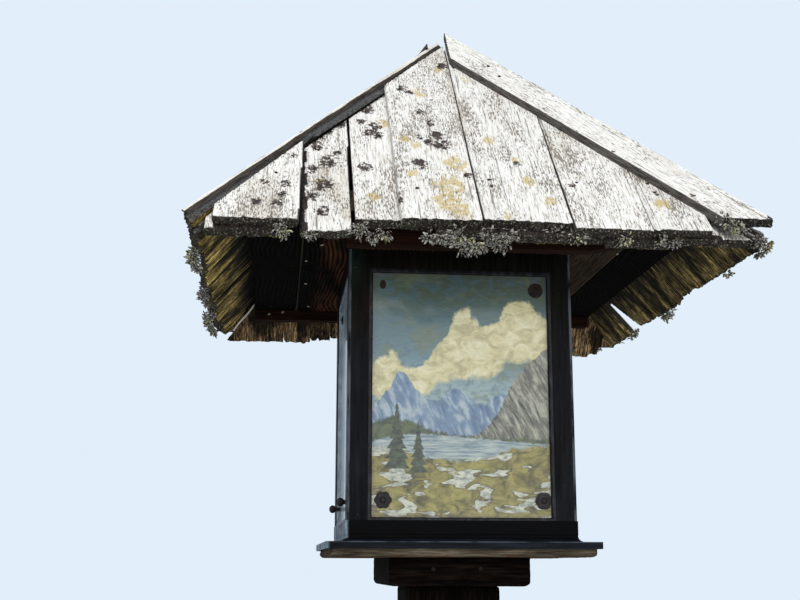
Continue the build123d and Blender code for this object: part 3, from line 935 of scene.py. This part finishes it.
def frame_paint():
    finish = Finish("black_frame_paint", roughness=0.5)
    place = finish.place()
    height = place.axis(2)
    brush = place.noise((160, 160, 9), detail=4)
    cloud = place.noise((11, 11, 6))
    low_paint = brush.ramp((0.35, (0.0020, 0.0022, 0.0034)), (0.70, (0.0085, 0.0085, 0.0125)))
    high_paint = brush.ramp((0.35, (0.0018, 0.0018, 0.0014)), (0.70, (0.0085, 0.0080, 0.0060)))
    colour = low_paint.lay((height + cloud * 0.25).step(*PAINT_CHANGE), high_paint)
    colour = colour.lay(cloud.step(0.55, 0.72) * 0.45, (0.014, 0.0075, 0.0055))

    outwards = abs(place.axis(0)) + abs(place.axis(1))
    arris = outwards.step(2 * BOX_HALF - 0.0065, 2 * BOX_HALF - 0.0045)
    rubbed = place.noise((50, 50, 12)).step(0.34, 0.56)
    colour = colour.lay(arris * rubbed * 0.85, (0.115, 0.130, 0.150))
    verdigris = height.step(BOX_TOP - VERDIGRIS_DEPTH, BOX_TOP - 0.01) * cloud.step(0.42, 0.60)
    verdigris = verdigris * place.axis(0).step(0.0, -0.10)
    at_edge = outwards.step(2 * BOX_HALF - 0.040, 2 * BOX_HALF - 0.005)
    colour = colour.lay(verdigris * (at_edge * 0.7), (0.012, 0.040, 0.028))
    dust = place.noise((420, 420, 300), detail=2, roughness=0.5).step(0.730, 0.765)
    scuff = place.noise((60, 60, 240)).step(0.71, 0.75)
    colour = colour.lay(dust.maths("MAXIMUM", scuff) * 0.30, (0.20, 0.19, 0.18))
    finish.set("Roughness", cloud.ramp((0.35, (0.40, 0.40, 0.40)), (0.65, (0.60, 0.60, 0.60))))
    return finish.take(colour, brush, distance=0.0007, specular=0.05)


def bead_paint(name, stops, front_highlight=None):
    """Thin paint on a bead; the last stops, if given, are laid on the faces that look to the front as a
    painted highlight of sky light.
    """
    finish = Finish(name, roughness=0.4)
    wear = finish.place().noise((70, 70, 26), detail=4, roughness=0.65)
    colour = wear.ramp(*stops)
    if front_highlight:
        # A painted highlight: the faces that look to the front are laid pale blue.
        colour = colour.lay(finish.facing((0, -1, 0), 0.6, 0.9) * 0.9, wear.ramp(*front_highlight))
    return finish.take(colour, wear, distance=0.0008, specular=0.12)


frame_black = frame_paint()
for corner in ("front_right", "back_right", "back_left", "front_left"):
    give("corner_post_" + corner, frame_black)
for side in SIDES:
    give("bottom_rail_" + side, frame_black)
    give("top_rail_" + side, frame_black)
grey_bead = bead_paint("grey_bead_paint", GREY_BEAD)
for side in SIDES:
    give("bead_" + side, grey_bead)
give("bead_left", bead_paint("bleached_sky_lit_bead_paint", BLEACHED_AND_SKY_LIT_BEAD, PAINTED_SKY_LIGHT_BEAD))


# Nails and a splinter: clenched nail ends under the deck and on its back batten, pale where
# the rust has worn off and with a painted highlight, one nail out of the collar, and a split-off strip at the
# back left, brightened near white as a painted highlight.
DECK_NAILS = ((-0.293, -0.263), (-0.322, -0.125), (-0.317, 0.093), (-0.304, 0.346), (0.333, -0.257))
BATTEN_NAILS = ((-0.404, 2.235), (-0.368, 2.241), (0.30, 2.236))
CLENCH_RADIUS = 0.0045
CLENCH_SHAPE = (1.0, 0.62, 0.4)
CLENCH_SUNK = 0.0006
BATTEN_THICKNESS = 0.030
SPLINTER_FOOT, SPLINTER_HEAD = Vector((0.4985, -0.757, -0.0010)), Vector((0.4420, -0.676, -0.0010))
SPLINTER_RADIUS = 0.0023
SPLINTER_WAVE = 0.0008
COLLAR_NAIL_PLACE = (BOX_HALF + 0.008, -0.12, 1.677)
COLLAR_NAIL_RADIUS, COLLAR_NAIL_LENGTH = 0.0011, 0.016
COLLAR_HEAD_RADIUS, COLLAR_HEAD_THICKNESS = 0.0030, 0.0012

clench = primitive(bpy.ops.mesh.primitive_uv_sphere_add, segments=9, ring_count=6, radius=CLENCH_RADIUS)
clench.scale = CLENCH_SHAPE
bpy.ops.object.transform_apply(location=False, rotation=False, scale=True)
batten_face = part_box("deck_battens")[1].y - BATTEN_THICKNESS
chance = random.Random("clenched nails")
clench_places = [Matrix.Translation((*spot, BOX_TOP - CLENCH_SUNK))
                 @ Matrix.Rotation(chance.uniform(0, pi), 4, "Z") for spot in DECK_NAILS]
clench_places += [Matrix.Translation((across, batten_face, up)) @ Matrix.Rotation(pi / 2, 4, "X")
                  @ Matrix.Rotation(chance.uniform(0.2, 0.8), 4, "Z") for across, up in BATTEN_NAILS]
clenched = copies_joined(clench, clench_places, "clenched_nails")
# Pale nail ends: partly iron worn bare and partly a painted highlight.
clenched.data.materials.append(rust_finish("worn_highlit_nail_ends", (0.20, 0.15, 0.10), (0.55, 0.46, 0.34), 0.7))
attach(clenched, "root")

splinter_run = SPLINTER_HEAD - SPLINTER_FOOT
splinter = primitive(bpy.ops.mesh.primitive_cylinder_add, vertices=6, radius=SPLINTER_RADIUS,
                     depth=splinter_run.length)
splinter.name = "split_off_strip"
bpy.ops.object.mode_set(mode="EDIT")
bpy.ops.mesh.select_all(action="SELECT")
bpy.ops.mesh.subdivide(number_cuts=9)
bpy.ops.object.mode_set(mode="OBJECT")
for vertex in splinter.data.vertices:
    vertex.co.x += SPLINTER_WAVE * sin(90 * vertex.co.z) + chance.uniform(-0.0003, 0.0003)
splinter.data.transform(slope_axes("back") @ Matrix.Translation((SPLINTER_FOOT + SPLINTER_HEAD) / 2)
                        @ splinter_run.to_track_quat("Z", "Y").to_matrix().to_4x4())
bpy.ops.object.shade_smooth()
# Near-white colours: fresh split wood, brightened as a painted highlight where it lies in the roof's shade.
brightened_split_wood = sawn_finish("fresh_split_wood_painted_bright", (0.98, 0.95, 0.89), (0.84, 0.78, 0.68), grain_axis=2)
splinter.data.materials.append(brightened_split_wood)
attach(splinter, "root")

bare_nail = primitive(bpy.ops.mesh.primitive_cylinder_add, vertices=8, radius=COLLAR_NAIL_RADIUS,
                      depth=COLLAR_NAIL_LENGTH)
nail_top = primitive(bpy.ops.mesh.primitive_cylinder_add, vertices=10, radius=COLLAR_HEAD_RADIUS,
                     depth=COLLAR_HEAD_THICKNESS,
                     location=(0, 0, (COLLAR_NAIL_LENGTH - COLLAR_HEAD_THICKNESS) / 2))
bpy.ops.object.transform_apply()
select_only(bare_nail, nail_top)
bpy.ops.object.join()
bare_nail.name = "collar_nail"
bare_nail.data.transform(Matrix.Translation(COLLAR_NAIL_PLACE) @ Matrix.Rotation(pi / 2, 4, "Y"))
bare_nail.data.materials.append(rust_finish("collar_nail_rust"))
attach(bare_nail, "root")


# Painted sheets: tin painted in oils, one to a side, with a plain mountain view of its own:
# evening clouds over blue peaks, a lake, a wooded bank and a stony meadow with two firs.
panel_low, panel_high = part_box("panel_front")
PANEL_HALF = panel_high.x
PANEL_FOOT, PANEL_TOP = panel_low.z, panel_high.z
ACROSS_AXIS = {"front": (1, 0, 0), "right": (0, 1, 0), "back": (-1, 0, 0), "left": (0, -1, 0)}

# Heights of the painting's outlines, as shares of the sheet, from its left to its right edge
CLOUD_TOPS = ((0, 0.56), (0.10, 0.66), (0.24, 0.60), (0.38, 0.70), (0.52, 0.84), (0.66, 0.78),
              (0.80, 0.88), (1, 0.80))
CLOUD_FEET = ((0, 0.50), (0.22, 0.47), (0.45, 0.55), (0.62, 0.57), (0.82, 0.64), (1, 0.60))
PEAKS = ((0, 0.44), (0.10, 0.51), (0.18, 0.585), (0.25, 0.52), (0.34, 0.47), (0.48, 0.52), (0.60, 0.46),
         (0.74, 0.50), (1, 0.41))
CRAG = ((0, 0.30), (0.40, 0.30), (0.58, 0.335), (0.70, 0.42), (0.79, 0.55), (0.86, 0.61),
        (0.93, 0.66), (1, 0.70))
WOODS = ((0, 0.375), (0.15, 0.40), (0.32, 0.355), (0.50, 0.33), (0.75, 0.32), (1, 0.33))
LAKE_SHORE = ((0, 0.30), (0.20, 0.335), (0.45, 0.33), (0.70, 0.315), (1, 0.30))
MEADOW = ((0, 0.29), (0.18, 0.27), (0.40, 0.235), (0.62, 0.25), (0.82, 0.285), (1, 0.30))
# The firs' middles, feet, tips and widths
FIRS = ((0.15, 0.20, 0.475, 0.070), (0.265, 0.185, 0.395, 0.052))
FIR_TIERS = 7.0


def under_line(across, height, points, waver, soft):
    """1 below a drawn outline that wavers as a brush does, with a soft edge."""
    line = Tone(across.tree, "FloatCurve", {"Value": across})
    mapping = line.node.mapping
    curve = mapping.curves[0]
    curve.points[0].location, curve.points[1].location = points[0], points[-1]
    for point in points[1:-1]:
        curve.points.new(*point)
    mapping.update()
    return (line + waver - height).step(-soft, soft)


def waver_of(place, scale, size):
    return place.noise((scale, scale, scale), detail=4).spread(-size, size)


def fir(across, height, waver, centre, foot, tip, width):
    """A painted fir: a narrow triangle with drooping tiers."""
    share = height.spread(0.0, 1.0, tip, foot)
    droop = (share * FIR_TIERS).maths("FRACT") * 0.45 + 0.62
    body = (share * width * droop + waver - abs(across - centre)).step(-0.002, 0.004)
    return body * ((height - foot).step(-0.003, 0.003) * (tip - height).step(-0.003, 0.003))


def painting(side):
    finish = Finish("painted_view_" + side, roughness=0.38)
    place = finish.place()
    along = place.vector("DOT_PRODUCT", {1: ACROSS_AXIS[side]}, "Value")
    across = along.spread(0.0, 1.0, -PANEL_HALF, PANEL_HALF)
    height = place.axis(2).spread(0.0, 1.0, PANEL_FOOT, PANEL_TOP)

    brush = place.noise((70, 70, 130), detail=4, roughness=0.65, distortion=0.6)
    dab = place.noise((30, 30, 42), distortion=1.2)
    broad = place.noise((11, 11, 15))
    small_waver = waver_of(place, 90, 0.012)
    billow = waver_of(place, 24, 0.075)
    rough_waver = waver_of(place, 55, 0.030)

    view = height.ramp((0.50, (0.34, 0.45, 0.45)), (0.66, (0.13, 0.235, 0.28)), (0.80, (0.092, 0.165, 0.165)),
                       (0.90, (0.078, 0.112, 0.080)), (1.0, (0.072, 0.095, 0.070)))
    view = view.lay(dab.step(0.45, 0.66) * 0.6, (0.070, 0.150, 0.205))
    view = view.lay(broad.step(0.50, 0.66) * 0.6, (0.165, 0.205, 0.115))

    cloud = under_line(across, height, CLOUD_TOPS, billow, 0.012)
    clear = under_line(across, height, CLOUD_FEET, billow, 0.02)
    cream = dab.ramp((0.35, (0.50, 0.455, 0.25)), (0.52, (0.70, 0.64, 0.36)), (0.66, (0.80, 0.755, 0.51)))
    view = view.lay(cloud - clear, cream)

    ridge = place.mapped(Rotation=(0, 0.45, 0.45)).noise((60, 60, 20), detail=4, distortion=0.5)
    blue = ridge.ramp((0.38, (0.10, 0.17, 0.28)), (0.50, (0.17, 0.27, 0.40)), (0.62, (0.42, 0.50, 0.54)))
    view = view.lay(under_line(across, height, PEAKS, rough_waver, 0.004), blue)

    slanted = place.mapped(Rotation=(0, 0.5, 0.5))
    streak = slanted.noise((120, 120, 26), detail=4, roughness=0.65, distortion=0.4)
    stone = streak.ramp((0.36, (0.045, 0.048, 0.050)), (0.50, (0.19, 0.19, 0.15)), (0.64, (0.46, 0.46, 0.37)))
    view = view.lay(under_line(across, height, CRAG, rough_waver, 0.004), stone)

    green = dab.ramp((0.40, (0.03, 0.055, 0.035)), (0.62, (0.11, 0.14, 0.06)))
    view = view.lay(under_line(across, height, WOODS, rough_waver, 0.006), green)
    water = place.noise((22, 22, 260)).ramp((0.38, (0.16, 0.24, 0.29)), (0.60, (0.46, 0.53, 0.50)))
    view = view.lay(under_line(across, height, LAKE_SHORE, small_waver, 0.004), water)

    grass = dab.ramp((0.34, (0.065, 0.055, 0.018)), (0.46, (0.19, 0.165, 0.038)), (0.62, (0.36, 0.31, 0.085)))
    grass = grass.lay(brush.step(0.50, 0.64) * 0.55, (0.115, 0.125, 0.035))
    stones = place.mapped(Scale=(1, 1, 2.6)).noise((19, 19, 19), detail=2, roughness=0.45, distortion=0.5)
    grass = grass.lay(abs(stones - 0.545).step(0.018, 0.006) * 0.65, (0.045, 0.045, 0.042))
    pale_stone = brush.ramp((0.38, (0.26, 0.28, 0.25)), (0.58, (0.60, 0.62, 0.50)))
    grass = grass.lay(stones.step(0.555, 0.58), pale_stone)
    view = view.lay(under_line(across, height, MEADOW, rough_waver, 0.008), grass)
    needles = brush.ramp((0.40, (0.012, 0.022, 0.016)), (0.62, (0.07, 0.10, 0.05)))
    for shape in FIRS:
        view = view.lay(fir(across, height, small_waver, *shape), needles)

    cracks = Tone(finish.tree, "TexVoronoi", {"Vector": place, "Scale": 130.0}, feature="DISTANCE_TO_EDGE")
    craze = cracks.step(0.035, 0.0) * broad.step(0.50, 0.62)
    view = view.lay(craze * 0.35, (0.20, 0.16, 0.11))
    side_gap, end_gap = across.maths("MINIMUM", 1.0 - across), height.maths("MINIMUM", 1.0 - height)
    edge_gap = side_gap.maths("MINIMUM", end_gap) + small_waver
    view = view.lay(edge_gap.step(0.045, 0.0) * 0.45, (0.10, 0.085, 0.06))
    view = brush.shade(view, 0.80, 1.16)
    if side == "left":
        # The left sheet: pale blue laid over its view, more towards the back, partly weather bleaching and
        # partly painted sky light.
        bleached_and_sky_lit = place.noise((40, 40, 12), detail=4, roughness=0.65).step(0.34, 0.60).spread(0.18, 0.60)
        view = view.lay(bleached_and_sky_lit + place.axis(1).step(-0.18, 0.16) * 0.24, (0.56, 0.67, 0.80))
    finish.set("Coat Weight", 0.8)
    finish.set("Coat IOR", 1.22)
    finish.set("Coat Roughness", 0.10)
    return finish.take(view, brush + dab * 0.5, distance=0.0008, specular=0.22)


for side in SIDES:
    give("panel_" + side, painting(side))


# Bolts that hold the sheets: blackened bolts on big notched washers below, a rusty dished
# washer and a small oval plate above, and knobs on the two side sheets.
WASHER_THICKNESS = 0.003
WASHER_BEVEL = 0.0007
KNOB_NECK_RADIUS, KNOB_NECK_LENGTH = 0.0045, 0.014
KNOB_RADIUS, KNOB_FLATTENED, KNOB_RISE = 0.0092, 0.86, 0.0185
DISHED_PLACE = (0.161, 2.167)
OVAL_PLACE = (-0.163, 2.173)
LOW_BOLT_PLACES = ((-0.161, 1.7275), (0.169, 1.7275))
SIDE_KNOB_PLACES = ((-0.165, 1.7255), (0.165, 1.7255))


def headed(shank, head, name):
    select_only(shank, head)
    bpy.ops.object.join()
    bpy.ops.object.shade_smooth_by_angle(angle=radians(40))
    shank.name = name
    return shank


def washer_bolt(name, radius, notch, head, head_rise, stretch_up=1.0):
    """A washer with its bolt head, lying on Z = 0 and pointing along Z."""
    washer = primitive(bpy.ops.mesh.primitive_cylinder_add, vertices=18, radius=radius,
                       depth=WASHER_THICKNESS, location=(0, 0, WASHER_THICKNESS / 2))
    bpy.ops.object.transform_apply()
    for vertex in washer.data.vertices:
        if vertex.index // 2 % 3 == 0:
            vertex.co.x *= notch
            vertex.co.y *= notch
        vertex.co.y *= stretch_up
    apply_modifier(washer, "BEVEL", width=WASHER_BEVEL, segments=2)
    dome = primitive(bpy.ops.mesh.primitive_uv_sphere_add, segments=12, ring_count=8, radius=head,
                     location=(0, 0, WASHER_THICKNESS))
    dome.scale.z = head_rise / head
    bpy.ops.object.transform_apply()
    return headed(washer, dome, name)


def knob_bolt(name):
    """A round knob on a short neck, lying on Z = 0 and pointing along Z."""
    neck = primitive(bpy.ops.mesh.primitive_cylinder_add, vertices=14, radius=KNOB_NECK_RADIUS,
                     depth=KNOB_NECK_LENGTH, location=(0, 0, KNOB_NECK_LENGTH / 2))
    bpy.ops.object.transform_apply()
    ball = primitive(bpy.ops.mesh.primitive_uv_sphere_add, segments=14, ring_count=9, radius=KNOB_RADIUS)
    ball.scale.z, ball.location.z = KNOB_FLATTENED, KNOB_RISE
    bpy.ops.object.transform_apply()
    return headed(neck, ball, name)


def on_sheets(sides, *places):
    """The same places on several sheets, with Z out of each sheet."""
    return [Matrix.Rotation(SIDES.index(side) * pi / 2, 4, "Z")
            @ Matrix.Translation((across, panel_low.y, height)) @ Matrix.Rotation(pi / 2, 4, "X")
            for side in sides for across, height in places]


notched = washer_bolt("notched_washer", radius=0.018, notch=0.88, head=0.0068, head_rise=0.004)
dished = washer_bolt("dished_washer", radius=0.016, notch=0.97, head=0.0075, head_rise=0.0035)
oval = washer_bolt("oval_plate", radius=0.0062, notch=0.92, head=0.0036, head_rise=0.0022, stretch_up=1.65)
knob = knob_bolt("sheet_knob")
black_iron = rust_finish("blackened_iron", (0.006, 0.006, 0.007), (0.030, 0.021, 0.020), roughness=0.6)
brown_rust = rust_finish("brown_rust", (0.007, 0.006, 0.006), (0.042, 0.023, 0.015), roughness=0.85)
for pattern, places, name, finish in (
    (notched, on_sheets(("front", "back"), *LOW_BOLT_PLACES), "notched_washer_bolts", black_iron),
    (dished, on_sheets(SIDES, DISHED_PLACE), "dished_washer_bolts", brown_rust),
    (oval, on_sheets(SIDES, OVAL_PLACE), "oval_plate_bolts", brown_rust),
    (knob, on_sheets(("right", "left"), *SIDE_KNOB_PLACES), "sheet_knob_bolts", black_iron),
):
    bolts = copies_joined(pattern, places, name)
    bolts.data.materials.append(finish)
    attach(bolts, "root")


# Tray: a black sheet-iron apron and upstand over boards. The left sides of the sheet and upstand
# are laid pale blue-grey as a painted reflection of the sky; the boards' edges show bare brown wood, rotten
# below and partly painted as a sunlit edge.
SHEET_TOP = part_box("tray_sheet")[1].z
SLOT_FACE = -0.238
SHEET_SLOTS = ((-0.190, 1.686), (-0.110, 1.682), (-0.031, 1.680))
ALONG_X = Matrix.Rotation(-pi / 2, 4, "Z")
ALONG_Z = Matrix.Rotation(pi / 2, 4, "X")
SMALL_VOXEL, SMALL_BOW = 0.006, 0.0015
TRAY_FRAY = 0.006
# Where the painted sky reflection on the left side begins and is full, across
SKY_REFLECTION_EDGE = (-0.222, -0.229)
tray_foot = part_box("tray_boards")[0].z
# An orange-brown band along the tray boards' lower edges, partly rot and partly a painted sunlit edge: the
# heights where it fades out, and its colour
TRAY_ROT_AND_LIT_EDGE = (tray_foot + 0.0065, tray_foot + 0.0095, (0.105, 0.052, 0.024))


def sheet_iron():
    finish = Finish("black_sheet_iron", roughness=0.5)
    place = finish.place()
    height = place.axis(2)
    brush = place.noise((8, 8, 120), detail=4, roughness=0.65)
    cloud = place.noise((16, 16, 16), detail=4)
    collar = height.step(SHEET_TOP + 0.003, SHEET_TOP + 0.007)
    black = brush.ramp((0.36, (0.0033, 0.0040, 0.0062)), (0.66, (0.0125, 0.0150, 0.0220)))
    black = black.lay(collar, (0.0006, 0.0006, 0.0009))
    # A painted highlight: a broken pale blue line along the apron's top edge.
    painted_top_highlight = abs(height - (SHEET_TOP - 0.0008)).step(0.0018, 0.0008) * cloud.step(0.36, 0.60)
    black = black.lay(painted_top_highlight * 0.75, (0.075, 0.095, 0.125))
    # A painted reflection of the sky: pale blue-grey with streaks, laid on the left side of the sheet and
    # upstand.
    pale = cloud.ramp((0.36, (0.075, 0.105, 0.135)), (0.52, (0.16, 0.215, 0.265)), (0.66, (0.36, 0.43, 0.49)))
    pale = place.noise((150, 150, 14)).shade(pale, 0.55, 1.5)
    sky_reflection_side = place.axis(0) + cloud * 0.012 + (1.0 - collar) * 0.040
    colour = black.lay(sky_reflection_side.step(*SKY_REFLECTION_EDGE), pale)
    for across, up in SHEET_SLOTS:
        slot = place.vector("SUBTRACT", {1: (SLOT_FACE, across, up)})
        slot = slot.vector("MULTIPLY", {1: (0.3, 0.28, 1.4)}).vector("LENGTH", {}, "Value")
        colour = colour.lay(slot.step(0.0062, 0.0046), (0.006, 0.006, 0.008))
    rust = place.noise((60, 60, 60), detail=4, roughness=0.7).step(0.62, 0.72)
    colour = colour.lay(rust * 0.35, (0.022, 0.012, 0.008))
    return finish.take(colour, cloud + brush * 0.3, distance=0.002, specular=0.035)


def weathered_copy(node, name, turn, voxel, bow, fray=0.0):
    """The node's solids, worn along their grain; turn lays the grain along Y."""
    chance = random.Random(node)
    solids = solids_of(node, turn)
    for solid in solids:
        shift = weather_board(solid, chance, fray, voxel=voxel, bow=bow, ends=("low", "high"))
        mark_grain(solid, shift, chance.uniform(-1, 1))
    piece = join_boards(solids, name, turn)
    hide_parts(node)
    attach(piece, "root")
    return piece


def worn_timber(name, dark, middle, pale, lower_edge_band=None):
    """Bare old timber: fibres and stains along the grain, with a band along its lower edges, where given,
    partly rot and partly a painted sunlit edge.
    """
    finish = Finish(name, roughness=0.85)
    grain, place = finish.kept("grain", "Vector"), finish.place()
    fibre = grain.noise((240, 16, 240), detail=4, roughness=0.65)
    level = fibre * 0.6 + grain.noise((30, 5, 30), detail=4) * 0.4
    colour = level.ramp((0.38, dark), (0.50, middle), (0.62, pale))
    if lower_edge_band:
        # The band along the lower edges: partly rot and partly painted light.
        low, high, rotten = lower_edge_band
        colour = colour.lay((place.axis(2) + place.noise((26, 26, 60)) * 0.014).step(high, low), rotten)
    return finish.take(colour, fibre, distance=0.0022, specular=0.03)


iron = sheet_iron()
give("tray_sheet", iron)
give("box_upstand", iron)
tray = weathered_copy("tray_boards", "worn_tray_boards", ALONG_X, SMALL_VOXEL, SMALL_BOW, TRAY_FRAY)
tray.data.materials.append(worn_timber("worn_tray_wood", dark=(0.026, 0.020, 0.014),
                                       middle=(0.080, 0.064, 0.044), pale=(0.19, 0.158, 0.112), lower_edge_band=TRAY_ROT_AND_LIT_EDGE))


# Carrier: a bolster across the post's head, and the post, both hewn and stained dark, and coloured near black
# as painted shade.
# The bolster is pegged from the front and the back; the pegs' ends are dark too.
PEG_RADIUS = 0.0045
PEG_LENGTH = 0.004
PEGS_ACROSS = (-0.055, 0.0415)
PEG_HEIGHT = 1.592
POST_VOXEL, POST_BOW = 0.008, 0.003

bolster = weathered_copy("bolster", "worn_bolster", ALONG_X, SMALL_VOXEL, SMALL_BOW)
# Near-black colours for the bolster and the post: dark stain and painted shade.
bolster.data.materials.append(worn_timber("stained_carrier_wood_painted_shade", dark=(0.0012, 0.0009, 0.0008),
                                          middle=(0.0040, 0.0027, 0.0022), pale=(0.0150, 0.0095, 0.0070)))
post = weathered_copy("post", "worn_post", ALONG_Z, POST_VOXEL, POST_BOW)
post.data.materials.append(worn_timber("stained_post_wood_painted_shade", dark=(0.0008, 0.0007, 0.0006),
                                       middle=(0.0026, 0.0019, 0.0016), pale=(0.0110, 0.0072, 0.0055)))

peg = primitive(bpy.ops.mesh.primitive_cylinder_add, vertices=10, radius=PEG_RADIUS, depth=PEG_LENGTH)
peg.name = "peg_pattern"
bolster_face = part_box("bolster")[0].y
peg_places = [Matrix.Rotation(turn, 4, "Z") @ Matrix.Translation((across, bolster_face, PEG_HEIGHT))
              @ Matrix.Rotation(pi / 2, 4, "X") for turn in (0, pi) for across in PEGS_ACROSS]
pegs = copies_joined(peg, peg_places, "bolster_pegs")
pegs.data.materials.append(sawn_finish("peg_ends", (0.026, 0.020, 0.016), (0.009, 0.007, 0.006), 1))
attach(pegs, "root")


# What was only needed while the pieces were shaped goes, and the model's size is kept.
for pattern in (stretch, nail, lobe, clench, notched, dished, oval, knob, peg):
    bpy.data.objects.remove(pattern)
